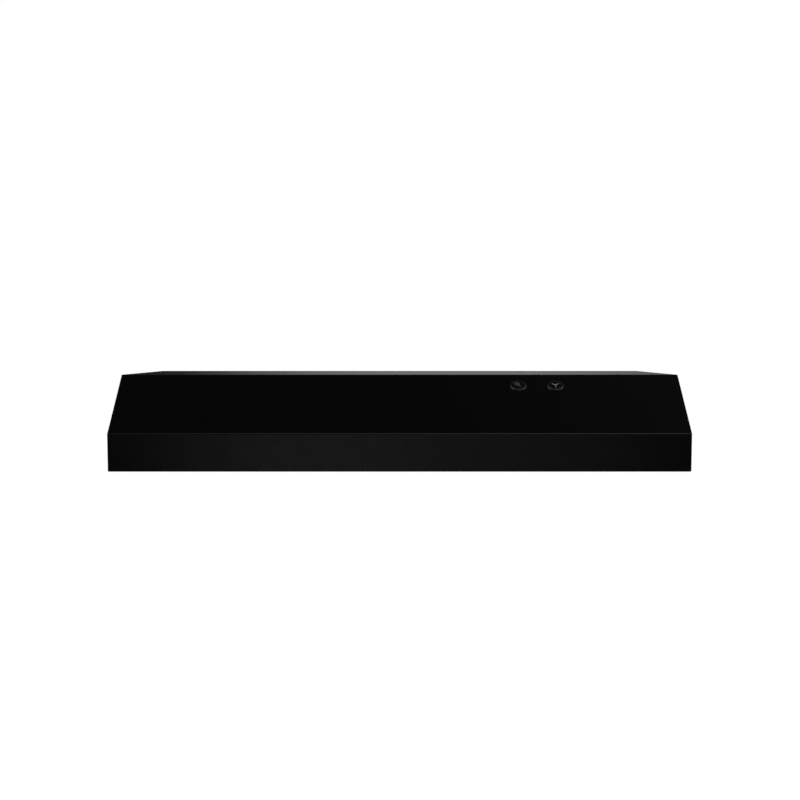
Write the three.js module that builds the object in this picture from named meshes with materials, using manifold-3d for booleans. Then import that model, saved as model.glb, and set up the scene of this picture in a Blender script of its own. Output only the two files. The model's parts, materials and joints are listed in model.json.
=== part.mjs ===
// An under cabinet range hood, 30 inch class, built from its separate pieces.
// Millimetres, +Z up, +X to the right of a person facing it, -Y towards that person.
// The origin is the middle of the flat top that is screwed up against the cabinet.

import * as THREE from "three";
import { mergeVertices } from "three/addons/utils/BufferGeometryUtils.js";
import Module from "manifold-3d";

const wasm = await Module();
wasm.setup();

// ---------------------------------------------------------------- driving dimensions

const WIDTH = 759;
const DEPTH = 444.5;
const HEIGHT = 124;
const SLOPE_SETBACK = 106;
const SLOPE_RISE = 74;
const SHEET = 1;
const BEND = 3;
const GAP = 0.3;
const RETURN_FLANGE = 22;
const HEM = 12;

const DUCT = { width: 254, height: 82.6, middleZ: -53, length: 39.5 };
const HOUSING = { halfWidth: 150, front: -92, depth: 96, flange: 12 };
const FAN = { y: 55, radius: 91, hubRadius: 21, top: -62, bottom: -84, blades: 5 };
const ORIFICE_RADIUS = 95.5;
const SHAFT_RADIUS = 3.1;
const BOLT_X = 26;
const BOLT_RADIUS = 1.9;
const FILTER = { width: 267, length: 222, top: -98.5, thickness: 9, rim: 11 };
const LAMP = { left: 190, right: 350, y: -20, bulbZ: -50, floor: -97 };
const LENS = { margin: 2, depth: 6.6, wall: 1.6, hingeY: 68, hingeZ: -100.5 };
const BUTTON = { leftX: 160.4, rightX: 210.4, downSlope: 26.5 };
const WIRING_BOX = { left: 230, right: 340, front: 110, back: 195, depth: 42 };
const LEAD_RADIUS = 2.2;

const HALF_WIDTH = WIDTH / 2;
const FRONT = -DEPTH / 2;
const BACK = DEPTH / 2;
const SLOPE_TOP_Y = FRONT + SLOPE_SETBACK;
const SLOPE_ANGLE = Math.atan2(SLOPE_RISE, SLOPE_SETBACK);
const UNDER_TOP = -SHEET - GAP;

// ---------------------------------------------------------------- materials

function finish(color, roughness, metalness = 1) {
  return new THREE.MeshStandardMaterial({ color, roughness, metalness });
}

const MATERIAL = {
  blackPaint: finish(0x0b0b0c, 0.35, 0.2),
  galvanised: finish(0x9b9fa2, 0.45),
  steel: finish(0x8c8f92, 0.35),
  lamination: finish(0x55585c, 0.5),
  copper: finish(0x9c4f22, 0.35),
  castZinc: finish(0xa9abad, 0.5),
  bronze: finish(0x8a6234, 0.45),
  aluminium: finish(0xc5c8ca, 0.35),
  brass: finish(0xb08a3c, 0.3),
  reflector: finish(0xe4e4e0, 0.3, 0.4),
  blackPlastic: finish(0x101011, 0.4, 0),
  greyPlastic: finish(0x6a6d70, 0.55, 0),
  whitePlastic: finish(0xdedcd4, 0.45, 0),
  lensPlastic: finish(0xeeece2, 0.3, 0),
  frostedGlass: finish(0xf2f1ea, 0.4, 0),
  rubber: finish(0x1c1c1c, 0.8, 0),
  lead: finish(0x1a1a1c, 0.5, 0),
};

const group = new THREE.Group();

function place(name, geometry, material, parent = group) {
  const mesh = new THREE.Mesh(geometry, material);
  mesh.name = name;
  parent.add(mesh);
  return mesh;
}

// ---------------------------------------------------------------- joining and cutting

function toSolid(geometry) {
  const bare = geometry.clone();
  bare.deleteAttribute("normal");
  bare.deleteAttribute("uv");
  const merged = mergeVertices(bare, 1e-4);
  return new wasm.Manifold(
    new wasm.Mesh({
      numProp: 3,
      vertProperties: new Float32Array(merged.attributes.position.array),
      triVerts: new Uint32Array(merged.index.array),
    }),
  );
}

function toGeometry(solid) {
  const mesh = solid.getMesh();
  const geometry = new THREE.BufferGeometry();
  geometry.setAttribute("position", new THREE.BufferAttribute(new Float32Array(mesh.vertProperties), 3));
  geometry.setIndex(new THREE.BufferAttribute(new Uint32Array(mesh.triVerts), 1));
  geometry.computeVertexNormals();
  return geometry;
}

function join(...geometries) {
  return toGeometry(geometries.map(toSolid).reduce((whole, part) => whole.add(part)));
}

function cut(geometry, ...tools) {
  return toGeometry(tools.map(toSolid).reduce((rest, tool) => rest.subtract(tool), toSolid(geometry)));
}

// ---------------------------------------------------------------- basic bodies

function box([x0, x1], [y0, y1], [z0, z1]) {
  const geometry = new THREE.BoxGeometry(x1 - x0, y1 - y0, z1 - z0);
  return geometry.translate((x0 + x1) / 2, (y0 + y1) / 2, (z0 + z1) / 2);
}

function rodZ(radius, x, y, [z0, z1], sides = 16) {
  const geometry = new THREE.CylinderGeometry(radius, radius, z1 - z0, sides);
  return geometry.rotateX(Math.PI / 2).translate(x, y, (z0 + z1) / 2);
}

function rodX(radius, [x0, x1], y, z, sides = 16) {
  const geometry = new THREE.CylinderGeometry(radius, radius, x1 - x0, sides);
  return geometry.rotateZ(Math.PI / 2).translate((x0 + x1) / 2, y, z);
}

function rodY(radius, x, [y0, y1], z, sides = 16) {
  return new THREE.CylinderGeometry(radius, radius, y1 - y0, sides).translate(x, (y0 + y1) / 2, z);
}

function extrude(shape, length) {
  return new THREE.ExtrudeGeometry(shape, { depth: length, bevelEnabled: false, curveSegments: 4 });
}

// A shape drawn in (y, z), from x0 to x1.
function extrudeX(shape, [x0, x1]) {
  const turn = new THREE.Matrix4().makeBasis(
    new THREE.Vector3(0, 1, 0),
    new THREE.Vector3(0, 0, 1),
    new THREE.Vector3(1, 0, 0),
  );
  return extrude(shape, x1 - x0).applyMatrix4(turn).translate(x0, 0, 0);
}

// A shape drawn in (x, z), from y0 to y1.
function extrudeY(shape, [y0, y1]) {
  return extrude(shape, y1 - y0).rotateX(Math.PI / 2).translate(0, y1, 0);
}

// A shape drawn in (x, y), from z0 to z1.
function extrudeZ(shape, [z0, z1]) {
  return extrude(shape, z1 - z0).translate(0, 0, z0);
}

function polygon(corners) {
  return new THREE.Shape(corners.map(([x, y]) => new THREE.Vector2(x, y)));
}

function roundedRectangle(width, height, radius, x = 0, y = 0) {
  const shape = new THREE.Shape();
  const [w, h] = [width / 2 - radius, height / 2 - radius];
  shape.absarc(x + w, y + h, radius, 0, Math.PI / 2);
  shape.absarc(x - w, y + h, radius, Math.PI / 2, Math.PI);
  shape.absarc(x - w, y - h, radius, Math.PI, 1.5 * Math.PI);
  shape.absarc(x + w, y - h, radius, 1.5 * Math.PI, 2 * Math.PI);
  return shape;
}

// A body turned about Z from an outline of [radius, height] points.
// An outline that doesn't touch the axis is closed on itself.
function turned(outline, sides = 20) {
  const points = outline.map(([r, h]) => new THREE.Vector2(r, h));
  if (THREE.ShapeUtils.isClockWise(points)) points.reverse();
  const onAxis = points.some((point) => point.x === 0);
  const startsOnAxis = () => points[0].x === 0 && points[points.length - 1].x === 0;
  while (onAxis && !startsOnAxis()) points.push(points.shift());
  if (!onAxis) points.push(points[0].clone());
  return new THREE.LatheGeometry(points, sides).rotateX(Math.PI / 2);
}

// The outline of a bent sheet. The corners run along one face of the sheet, each bend is an arc of
// the given radius on that face, and the thickness lies to the left of the line, or right if negative.
function sheetOutline(corners, thickness = SHEET, radius = BEND, bendSteps = 3) {
  const line = corners.map(([x, y]) => new THREE.Vector2(x, y));
  const near = [];
  const far = [];
  const add = (point, angle) => {
    near.push(point);
    const across = new THREE.Vector2(-Math.sin(angle), Math.cos(angle)).multiplyScalar(thickness);
    far.push(point.clone().add(across));
  };
  const heading = (from, to) => to.clone().sub(from).angle();
  add(line[0], heading(line[0], line[1]));
  for (let i = 1; i < line.length - 1; i += 1) {
    const before = heading(line[i - 1], line[i]);
    const turn = Math.atan2(
      Math.sin(heading(line[i], line[i + 1]) - before),
      Math.cos(heading(line[i], line[i + 1]) - before),
    );
    const side = Math.sign(turn) * radius;
    const run = radius * Math.tan(Math.abs(turn) / 2);
    const along = new THREE.Vector2(Math.cos(before), Math.sin(before));
    const across = new THREE.Vector2(-along.y, along.x);
    const start = line[i].clone().addScaledVector(along, -run);
    const centre = start.addScaledVector(across, side);
    const steps = Math.max(2, Math.round((bendSteps * Math.abs(turn)) / (Math.PI / 2)));
    for (let k = 0; k <= steps; k += 1) {
      const angle = before + (turn * k) / steps;
      add(new THREE.Vector2(centre.x + Math.sin(angle) * side, centre.y - Math.cos(angle) * side), angle);
    }
  }
  const last = line.length - 1;
  add(line[last], heading(line[last - 1], line[last]));
  return [...near, ...far.reverse()];
}

function sheetShape(corners, thickness, radius, bendSteps) {
  return new THREE.Shape(sheetOutline(corners, thickness, radius, bendSteps));
}

// The corners of a line moved to its left by a distance, for sheets that lie inside each other.
function inset(corners, distance) {
  const points = corners.map(([x, y]) => new THREE.Vector2(x, y));
  const leftOf = (a, b) => new THREE.Vector2(a.y - b.y, b.x - a.x).normalize();
  return points.map((point, i) => {
    const before = i > 0 ? leftOf(points[i - 1], point) : leftOf(point, points[i + 1]);
    const after = i < points.length - 1 ? leftOf(point, points[i + 1]) : before;
    const bisector = before.clone().add(after).normalize();
    return point.clone().addScaledVector(bisector, distance / bisector.dot(before)).toArray();
  });
}

// ---------------------------------------------------------------- the sheet-metal enclosure

// The outer line of the wrapper in (y, z), from the back of the top to the hem behind the front lip.
const WRAPPER_LINE = [
  [BACK, 0],
  [SLOPE_TOP_Y, 0],
  [FRONT, -SLOPE_RISE],
  [FRONT, -HEIGHT],
  [FRONT + RETURN_FLANGE, -HEIGHT],
  [FRONT + RETURN_FLANGE, -HEIGHT + HEM],
];
const PLATE_INSIDE_X = HALF_WIDTH - SHEET;
const TOP_DUCT_HOLE = { y: 163, width: 254, height: 82.6, corner: 5 };
const WIRING_HOLE = { x: 300, y: 165, radius: 11.2 };
const KEYHOLES = [[-300, -86], [300, -86], [-190, 178], [190, 178]];
const HOUSING_SCREWS = [[-100, -99], [100, -99]];
const BRACKET_SCREWS = [[-82, FAN.y], [82, FAN.y]];
const SCREW_HOLE = 1.9;
const THROUGH_TOP = [-3, 1];

// A round hole for a screw head, running forward into a narrow slot for its shank.
function keyhole(x, y) {
  const slot = box([x - 2.6, x + 2.6], [y - 14, y], THROUGH_TOP);
  const end = rodZ(2.6, x, y - 14, THROUGH_TOP, 10);
  return join(rodZ(5.5, x, y, THROUGH_TOP), slot, end);
}

// A point on the slope, and turned so that its own Z leaves the slope square to it.
function onSlope(x, downSlope) {
  const holder = new THREE.Group();
  const y = SLOPE_TOP_Y - Math.cos(SLOPE_ANGLE) * downSlope;
  holder.position.set(x, y, -Math.sin(SLOPE_ANGLE) * downSlope);
  holder.rotation.x = SLOPE_ANGLE;
  holder.updateMatrixWorld();
  return holder;
}

function buttonHole(x) {
  return rodZ(9.8, 0, 0, [-8, 8], 32).applyMatrix4(onSlope(x, BUTTON.downSlope).matrixWorld);
}

function makeHoodShell() {
  const half = PLATE_INSIDE_X - GAP;
  const wrapper = extrudeX(sheetShape(WRAPPER_LINE), [-half, half]);
  const { y, width, height, corner } = TOP_DUCT_HOLE;
  const ductHole = extrudeZ(roundedRectangle(width, height, corner, 0, y), THROUGH_TOP);
  const wiringHole = rodZ(WIRING_HOLE.radius, WIRING_HOLE.x, WIRING_HOLE.y, THROUGH_TOP);
  const screwHoles = [...HOUSING_SCREWS, ...BRACKET_SCREWS].map(([sx, sy]) =>
    rodZ(SCREW_HOLE, sx, sy, THROUGH_TOP, 12),
  );
  const keyholes = KEYHOLES.map(([kx, ky]) => keyhole(kx, ky));
  const buttonHoles = [buttonHole(BUTTON.leftX), buttonHole(BUTTON.rightX)];
  const shell = cut(wrapper, ductHole, wiringHole, ...screwHoles, ...keyholes, ...buttonHoles);
  place("hood_shell", shell, MATERIAL.blackPaint);
}

// Each side is a flat plate with the outline of the wrapper. One flange runs under the wrapper,
// and another makes the lower rim, with a hem.
function makeSidePanel(name, side) {
  const outline = polygon([...WRAPPER_LINE.slice(0, 4), [BACK, -HEIGHT]]);
  const plate = extrudeX(outline, [PLATE_INSIDE_X, HALF_WIDTH]);
  const underWrapper = inset(WRAPPER_LINE.slice(0, 4), SHEET + GAP);
  underWrapper[0][0] = BACK - 16;
  underWrapper[3][1] = -HEIGHT + BEND + GAP;
  const flange = extrudeX(sheetShape(underWrapper), [HALF_WIDTH - 13, PLATE_INSIDE_X + 0.5]);
  const rim = sheetShape(
    [
      [HALF_WIDTH, -HEIGHT],
      [HALF_WIDTH - RETURN_FLANGE, -HEIGHT],
      [HALF_WIDTH - RETURN_FLANGE, -HEIGHT + HEM],
    ],
    -SHEET,
  );
  const rimEnd = RETURN_FLANGE + 1;
  const body = join(plate, flange, extrudeY(rim, [FRONT + rimEnd, BACK - rimEnd]));
  place(name, side > 0 ? body : mirrored(body), MATERIAL.blackPaint);
}

function mirrored(geometry) {
  return toGeometry(toSolid(geometry).mirror([1, 0, 0]));
}

function makeBackPanel() {
  const half = PLATE_INSIDE_X - GAP;
  const line = [
    [BACK - 14, UNDER_TOP],
    [BACK, UNDER_TOP],
    [BACK, -HEIGHT],
    [BACK - RETURN_FLANGE, -HEIGHT],
    [BACK - RETURN_FLANGE, -HEIGHT + HEM],
  ];
  const sheet = extrudeX(sheetShape(line, -SHEET), [-half, half]);
  const through = [BACK - 4, BACK + 4];
  const ductHole = extrudeY(roundedRectangle(246, 75, 3, 0, DUCT.middleZ), through);
  const housingHalf = HOUSING.halfWidth + HOUSING.flange + 1;
  const notch = box([-housingHalf, housingHalf], [BACK - 20, BACK - SHEET], [UNDER_TOP - BEND - 1, 0]);
  place("back_panel", cut(sheet, ductHole, notch), MATERIAL.blackPaint);
}

function makeKnockouts() {
  const { y, width, height, corner } = TOP_DUCT_HOLE;
  const shape = roundedRectangle(width - 2 * GAP, height - 2 * GAP, corner - GAP, 0, y);
  place("top_duct_knockout", extrudeZ(shape, [-SHEET, 0]), MATERIAL.blackPaint);
  const disc = rodZ(WIRING_HOLE.radius - GAP, WIRING_HOLE.x, WIRING_HOLE.y, [-SHEET, 0], 28);
  place("wiring_knockout", disc, MATERIAL.blackPaint);
}

// ---------------------------------------------------------------- the rear duct and its damper

const DAMPER = { y: BACK + 10, rodRadius: 1.5, barrelRadius: 2.9, swingGap: 0.4 };
const COLLAR_TOP = DUCT.middleZ + DUCT.height / 2;
const COLLAR_BOTTOM = DUCT.middleZ - DUCT.height / 2;
const DAMPER_Z = COLLAR_TOP - SHEET - DAMPER.barrelRadius - 1;

function makeDuctConnector() {
  const flangeY = BACK + GAP;
  const collarShape = roundedRectangle(DUCT.width, DUCT.height, 3, 0, DUCT.middleZ);
  const boreShape = roundedRectangle(DUCT.width - 2 * SHEET, DUCT.height - 2 * SHEET, 2, 0, DUCT.middleZ);
  const flangeShape = roundedRectangle(DUCT.width + 24, DUCT.height + 18, 4, 0, DUCT.middleZ);
  const flange = extrudeY(flangeShape, [flangeY, flangeY + SHEET]);
  const collar = extrudeY(collarShape, [flangeY, BACK + DUCT.length]);
  const stop = box([-30, 30], [DAMPER.y - 3, DAMPER.y - 0.8], [COLLAR_BOTTOM + 0.5, COLLAR_BOTTOM + 6]);
  const bore = extrudeY(boreShape, [flangeY - 1, BACK + DUCT.length + 1]);
  const rodHole = rodX(DAMPER.rodRadius + GAP, [-DUCT.width, DUCT.width], DAMPER.y, DAMPER_Z);
  const body = join(cut(join(flange, collar), bore, rodHole), stop);
  place("duct_connector", body, MATERIAL.galvanised);
}

function makeDamper() {
  const rodHalf = DUCT.width / 2 - 0.1;
  const rod = rodX(DAMPER.rodRadius, [-rodHalf, rodHalf], DAMPER.y, DAMPER_Z, 16);
  place("damper_rod", rod, MATERIAL.steel);
  const half = DUCT.width / 2 - SHEET - 2;
  const foot = COLLAR_BOTTOM + SHEET + 1.5;
  const leaf = box([-half, half], [DAMPER.y - 0.5, DAMPER.y + 0.5], [foot, DAMPER_Z - 2.2]);
  const barrel = rodX(DAMPER.barrelRadius, [-half, half], DAMPER.y, DAMPER_Z, 20);
  const bore = rodX(DAMPER.rodRadius + DAMPER.swingGap, [-half - 1, half + 1], DAMPER.y, DAMPER_Z, 20);
  place("damper_flap", cut(join(leaf, barrel), bore), MATERIAL.galvanised);
}

// ---------------------------------------------------------------- the fan housing

const HOUSING_FLOOR = -HOUSING.depth;
const HOUSING_REAR = BACK - SHEET - GAP;
const LEAD_HOLE = { x: 118, z: -22, radius: 5 };

function screw(length) {
  const head = [[0, -3], [2.4, -2.8], [3.4, -1.6], [3.5, 0]];
  const shank = [[1.6, 0], [1.6, length - 1], [0, length]];
  const recess = box([-2.2, 2.2], [-0.4, 0.4], [-4, -1.8]);
  return cut(turned([...head, ...shank], 10), recess);
}

function placeScrew(name, x, y, z, length) {
  const mesh = place(name, screw(length), MATERIAL.steel);
  mesh.position.set(x, y, z);
}

function makeFanHousing() {
  const { halfWidth: half, front, flange } = HOUSING;
  const wallLine = [[-half, HOUSING_REAR], [-half, front], [half, front], [half, HOUSING_REAR]];
  const flangeLine = [
    [-half - flange, HOUSING_REAR],
    [-half - flange, front - flange],
    [half + flange, front - flange],
    [half + flange, HOUSING_REAR],
  ];
  const walls = extrudeZ(sheetShape(wallLine), [HOUSING_FLOOR, UNDER_TOP]);
  const rimShape = sheetShape(flangeLine, flange + SHEET / 2, flange + BEND);
  const rim = extrudeZ(rimShape, [UNDER_TOP - SHEET, UNDER_TOP]);
  const floorSpan = [HOUSING_FLOOR + 0.1, HOUSING_FLOOR + SHEET + 0.1];
  const floor = box([-half + 0.5, half - 0.5], [front + 0.5, HOUSING_REAR - 0.1], floorSpan);
  const mouth = rodZ(ORIFICE_RADIUS + 13, 0, FAN.y, [HOUSING_FLOOR - 5, HOUSING_FLOOR + 5], 40);
  const bell = turned(
    sheetOutline(
      [
        [ORIFICE_RADIUS + 15, HOUSING_FLOOR],
        [ORIFICE_RADIUS, HOUSING_FLOOR],
        [ORIFICE_RADIUS, HOUSING_FLOOR + 20],
      ],
      -SHEET,
      9,
    ).map((point) => point.toArray()),
    40,
  ).translate(0, FAN.y, 0);
  const screwHoles = HOUSING_SCREWS.map(([x, y]) => rodZ(SCREW_HOLE, x, y, [-6, 0], 12));
  const leadHole = rodY(LEAD_HOLE.radius, LEAD_HOLE.x, [front - 3, front + 3], LEAD_HOLE.z);
  const body = join(cut(floor, mouth), walls, rim, bell);
  place("fan_housing", cut(body, ...screwHoles, leadHole), MATERIAL.galvanised);
  HOUSING_SCREWS.forEach(([x, y], i) =>
    placeScrew(`housing_screw_${i + 1}`, x, y, UNDER_TOP - SHEET - GAP, 2.3),
  );
}

// ---------------------------------------------------------------- the motor

const STACK = { top: -24, bottom: -48, bore: 16, halfWidth: 33, front: -28, back: 62, leg: 16 };
const STRAP = { z: -14.5, thickness: 1.5, halfWidth: 25, drop: 62 };
const COVER_THICKNESS = 3;
const TOP_COVER_Z = STACK.top + GAP;
const BOTTOM_COVER_Z = STACK.bottom - GAP;
const BEARING = { outer: 7, clearance: 0.3, length: 6 };

function makeMotorBracket() {
  const top = UNDER_TOP;
  const bottom = STRAP.z;
  const line = [
    [-92, top - STRAP.thickness],
    [-STRAP.drop - 8, top - STRAP.thickness],
    [-STRAP.drop, bottom],
    [STRAP.drop, bottom],
    [STRAP.drop + 8, top - STRAP.thickness],
    [92, top - STRAP.thickness],
  ];
  const across = [FAN.y - STRAP.halfWidth, FAN.y + STRAP.halfWidth];
  const strap = extrudeY(sheetShape(line, STRAP.thickness, 2.5), across);
  const bossHole = rodZ(13, 0, FAN.y, [bottom - 3, bottom + 5]);
  const boltHoles = [boltHole(-BOLT_X), boltHole(BOLT_X)];
  const screwHoles = BRACKET_SCREWS.map(([x, y]) => rodZ(SCREW_HOLE, x, y, [top - 4, top + 2], 12));
  place("motor_bracket", cut(strap, bossHole, ...boltHoles, ...screwHoles), MATERIAL.galvanised);
  BRACKET_SCREWS.forEach(([x, y], i) =>
    placeScrew(`bracket_screw_${i + 1}`, x, y, top - STRAP.thickness - GAP, 2.8),
  );
}

function boltHole(x) {
  return rodZ(BOLT_RADIUS + GAP, x, FAN.y, [-80, 0], 16);
}

// The laminated core: two arms run back from the rotor bore and the far leg carries the coil.
function makeMotorCore() {
  const { halfWidth, front, back, leg, bore } = STACK;
  const length = back - front;
  const outline = roundedRectangle(2 * halfWidth, length, 6, 0, FAN.y + (front + back) / 2);
  const levels = [STACK.bottom, STACK.top];
  const opening = [STACK.bottom - 1, STACK.top + 1];
  const coilHalf = halfWidth - 14;
  const window = box([-coilHalf, coilHalf], [FAN.y + 24, FAN.y + back - leg], opening);
  const rotorBore = rodZ(bore, 0, FAN.y, opening, 28);
  const boltHoles = [boltHole(-BOLT_X), boltHole(BOLT_X)];
  const core = cut(extrudeZ(outline, levels), rotorBore, window, ...boltHoles);
  place("motor_stator", core, MATERIAL.lamination);

  const legY = FAN.y + back - leg / 2;
  const legZ = (STACK.top + STACK.bottom) / 2;
  const legDepth = STACK.top - STACK.bottom;
  const outside = roundedRectangle(leg + 20, legDepth + 18, 7, legY, legZ);
  const hole = roundedRectangle(leg + 2 * GAP, legDepth + 2 * GAP, 0.5, legY, legZ);
  const span = [-coilHalf + GAP, coilHalf - GAP];
  const coil = cut(extrudeX(outside, span), extrudeX(hole, [-halfWidth, halfWidth]));
  place("motor_coil", coil, MATERIAL.copper);
}

// A die-cast end cover: a bar across the core with a boss that holds the bearing.
function motorCover(faceZ, direction, bossLength) {
  const flat = [faceZ, faceZ + direction * COVER_THICKNESS].sort((a, b) => a - b);
  const boss = [faceZ, faceZ + direction * bossLength].sort((a, b) => a - b);
  const bar = extrudeZ(roundedRectangle(2 * STACK.halfWidth, 20, 8, 0, FAN.y), flat);
  const body = join(bar, rodZ(BEARING.outer + 3.5, 0, FAN.y, boss, 20));
  const seat = rodZ(BEARING.outer + BEARING.clearance, 0, FAN.y, [-80, 0], 20);
  return cut(body, seat, boltHole(-BOLT_X), boltHole(BOLT_X));
}

function bearing(z) {
  const inner = SHAFT_RADIUS + BEARING.clearance;
  const { outer, length } = BEARING;
  return turned([[inner, 0], [outer, 0], [outer, length], [inner, length]], 16).translate(0, FAN.y, z);
}

function makeMotorCovers() {
  place("motor_top_cover", motorCover(TOP_COVER_Z, 1, 8), MATERIAL.castZinc);
  place("motor_bottom_cover", motorCover(BOTTOM_COVER_Z, -1, 8), MATERIAL.castZinc);
  place("motor_top_bearing", bearing(TOP_COVER_Z + 1.5), MATERIAL.bronze);
  place("motor_bottom_bearing", bearing(BOTTOM_COVER_Z - 1.5 - BEARING.length), MATERIAL.bronze);
}

function hexPrism(acrossFlats, boreRadius, [z0, z1]) {
  const nut = rodZ(acrossFlats / Math.sqrt(3), 0, 0, [z0, z1], 6);
  return cut(nut, rodZ(boreRadius, 0, 0, [z0 - 1, z1 + 1], 20));
}

function makeMotorFixings() {
  const grommetBase = TOP_COVER_Z + COVER_THICKNESS + GAP;
  const bushing = [
    [BOLT_RADIUS + GAP, grommetBase],
    [5.5, grommetBase],
    [5.5, STRAP.z - GAP],
    [BOLT_RADIUS + GAP, STRAP.z - GAP],
  ];
  const headTop = BOTTOM_COVER_Z - COVER_THICKNESS - GAP;
  const nutBase = STRAP.z + STRAP.thickness + GAP;
  const boltLine = [
    [0, headTop - 3],
    [3.6, headTop - 3],
    [3.6, headTop],
    [BOLT_RADIUS, headTop],
    [BOLT_RADIUS, nutBase + 5],
    [0, nutBase + 5],
  ];
  [-BOLT_X, BOLT_X].forEach((x, i) => {
    const number = i + 1;
    place(`motor_grommet_${number}`, turned(bushing, 20).translate(x, FAN.y, 0), MATERIAL.rubber);
    place(`motor_bolt_${number}`, turned(boltLine, 16).translate(x, FAN.y, 0), MATERIAL.steel);
    const nut = hexPrism(7, BOLT_RADIUS + GAP, [nutBase, nutBase + 3]).translate(x, FAN.y, 0);
    place(`motor_nut_${number}`, nut, MATERIAL.steel);
  });
}

// ---------------------------------------------------------------- what turns: rotor, shaft and fan

function makeRotor() {
  const body = rodZ(STACK.bore - 0.5, 0, FAN.y, [STACK.bottom + 1, STACK.top - 1], 28);
  const bore = rodZ(SHAFT_RADIUS + GAP, 0, FAN.y, [STACK.bottom, STACK.top]);
  place("motor_rotor", cut(body, bore), MATERIAL.steel);
  const shaftEnds = [FAN.bottom - 7, TOP_COVER_Z + 8.5];
  place("motor_shaft", rodZ(SHAFT_RADIUS, 0, FAN.y, shaftEnds, 20), MATERIAL.steel);
}

// One blade: a thin slab, wrapped round the hub, climbing as it goes and slightly cambered.
function fanBlade(turn) {
  const rise = 17;
  const sweep = THREE.MathUtils.degToRad(50);
  const thickness = 2;
  const root = FAN.hubRadius - 1;
  const slab = new THREE.BoxGeometry(FAN.radius - root, 1, thickness, 3, 5, 1);
  const position = slab.attributes.position;
  const middleZ = (FAN.top + FAN.bottom) / 2;
  for (let i = 0; i < position.count; i += 1) {
    const radius = root + position.getX(i) + (FAN.radius - root) / 2;
    const along = position.getY(i);
    const reach = (radius - root) / (FAN.radius - root);
    const angle = turn + sweep * (along * (0.8 + 0.25 * reach) + 0.12 * reach);
    const camber = 3 * (1 - 4 * along * along);
    const z = middleZ + rise * along * (1 - 0.25 * reach) + camber - 1 + position.getZ(i);
    position.setXYZ(i, radius * Math.cos(angle), FAN.y + radius * Math.sin(angle), z);
  }
  return slab;
}

function makeFan() {
  const { hubRadius, top, bottom, blades } = FAN;
  const inner = SHAFT_RADIUS + GAP;
  const hub = turned(
    [
      [inner, bottom + 1],
      [9, bottom + 1],
      [9, bottom + 3],
      [hubRadius - 4, bottom + 3],
      [hubRadius, bottom + 6],
      [hubRadius, top],
      [inner, top],
    ],
    28,
  ).translate(0, FAN.y, 0);
  const turns = Array.from({ length: blades }, (_, i) => (i * 2 * Math.PI) / blades);
  place("fan_blade", join(hub, ...turns.map(fanBlade)), MATERIAL.greyPlastic);
  const nut = hexPrism(11, inner, [bottom - 4, bottom + 1 - GAP]).translate(0, FAN.y, 0);
  place("fan_nut", nut, MATERIAL.brass);
}

// ---------------------------------------------------------------- the grease filter

const FILTER_FRONT = FAN.y - FILTER.length / 2;
const FILTER_REAR = FAN.y + FILTER.length / 2;
const FILTER_BOTTOM = FILTER.top - FILTER.thickness;
const FILTER_HINGE = { y: FILTER_REAR + 4, z: -103 };
const TONGUE = { x: 85, halfWidth: 10, thickness: 1.2 };
const STRIP = 1.2;
const LATCH = { halfWidth: 16, top: FILTER_BOTTOM - GAP, front: FILTER_FRONT - 10 };

// A folded channel on all four sides, open towards the middle, holds the mesh pad.
function makeFilter() {
  const { width, length, top, rim } = FILTER;
  const ring = extrudeZ(roundedRectangle(width, length, 6, 0, FAN.y), [FILTER_BOTTOM, top]);
  const window = extrudeZ(
    roundedRectangle(width - 2 * rim, length - 2 * rim, 3, 0, FAN.y),
    [FILTER_BOTTOM - 1, top + 1],
  );
  const channelShape = roundedRectangle(width - 2 * SHEET, length - 2 * SHEET, 5, 0, FAN.y);
  const channel = extrudeZ(channelShape, [FILTER_BOTTOM + SHEET, top - SHEET]);
  const half = TONGUE.thickness / 2;
  const tongues = [-TONGUE.x, TONGUE.x].map((x) =>
    box(
      [x - TONGUE.halfWidth, x + TONGUE.halfWidth],
      [FILTER_REAR - SHEET + 0.1, FILTER_REAR + 8],
      [FILTER_HINGE.z - half, FILTER_HINGE.z + half],
    ),
  );
  place("filter_frame", join(cut(ring, window, channel), ...tongues), MATERIAL.aluminium);

  const shorter = 2 * (SHEET + GAP);
  const padShape = roundedRectangle(width - shorter, length - shorter, 4.5, 0, FAN.y);
  const pad = extrudeZ(padShape, [FILTER_BOTTOM + SHEET + GAP, top - SHEET - GAP]);
  place("filter_mesh", pad, MATERIAL.aluminium);
}

// Two hooks under the rear tongues, and one in front for the sliding latch.
function makeFilterClips() {
  const faceBottom = HOUSING_FLOOR - GAP - STRIP;
  const legTop = FILTER_HINGE.z - TONGUE.thickness / 2 - GAP;
  const rearLine = [
    [FILTER_HINGE.y + 22, faceBottom],
    [FILTER_HINGE.y + 7.2, faceBottom],
    [FILTER_HINGE.y + 7.2, legTop - STRIP],
    [FILTER_HINGE.y + 0.5, legTop - STRIP],
  ];
  const rear = sheetShape(rearLine, -STRIP, 2, 3);
  [["left", -TONGUE.x], ["right", TONGUE.x]].forEach(([side, x]) => {
    place(`filter_clip_${side}`, extrudeX(rear, [x - 8, x + 8]), MATERIAL.steel);
  });
  const legBottom = LATCH.top - STRIP - GAP - STRIP;
  const frontLine = [
    [LATCH.front - 18, faceBottom],
    [LATCH.front - 4, faceBottom],
    [LATCH.front - 4, legBottom],
    [LATCH.front + 6, legBottom],
  ];
  place("filter_catch", extrudeX(sheetShape(frontLine, STRIP, 2, 3), [-12, 12]), MATERIAL.steel);
}

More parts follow.
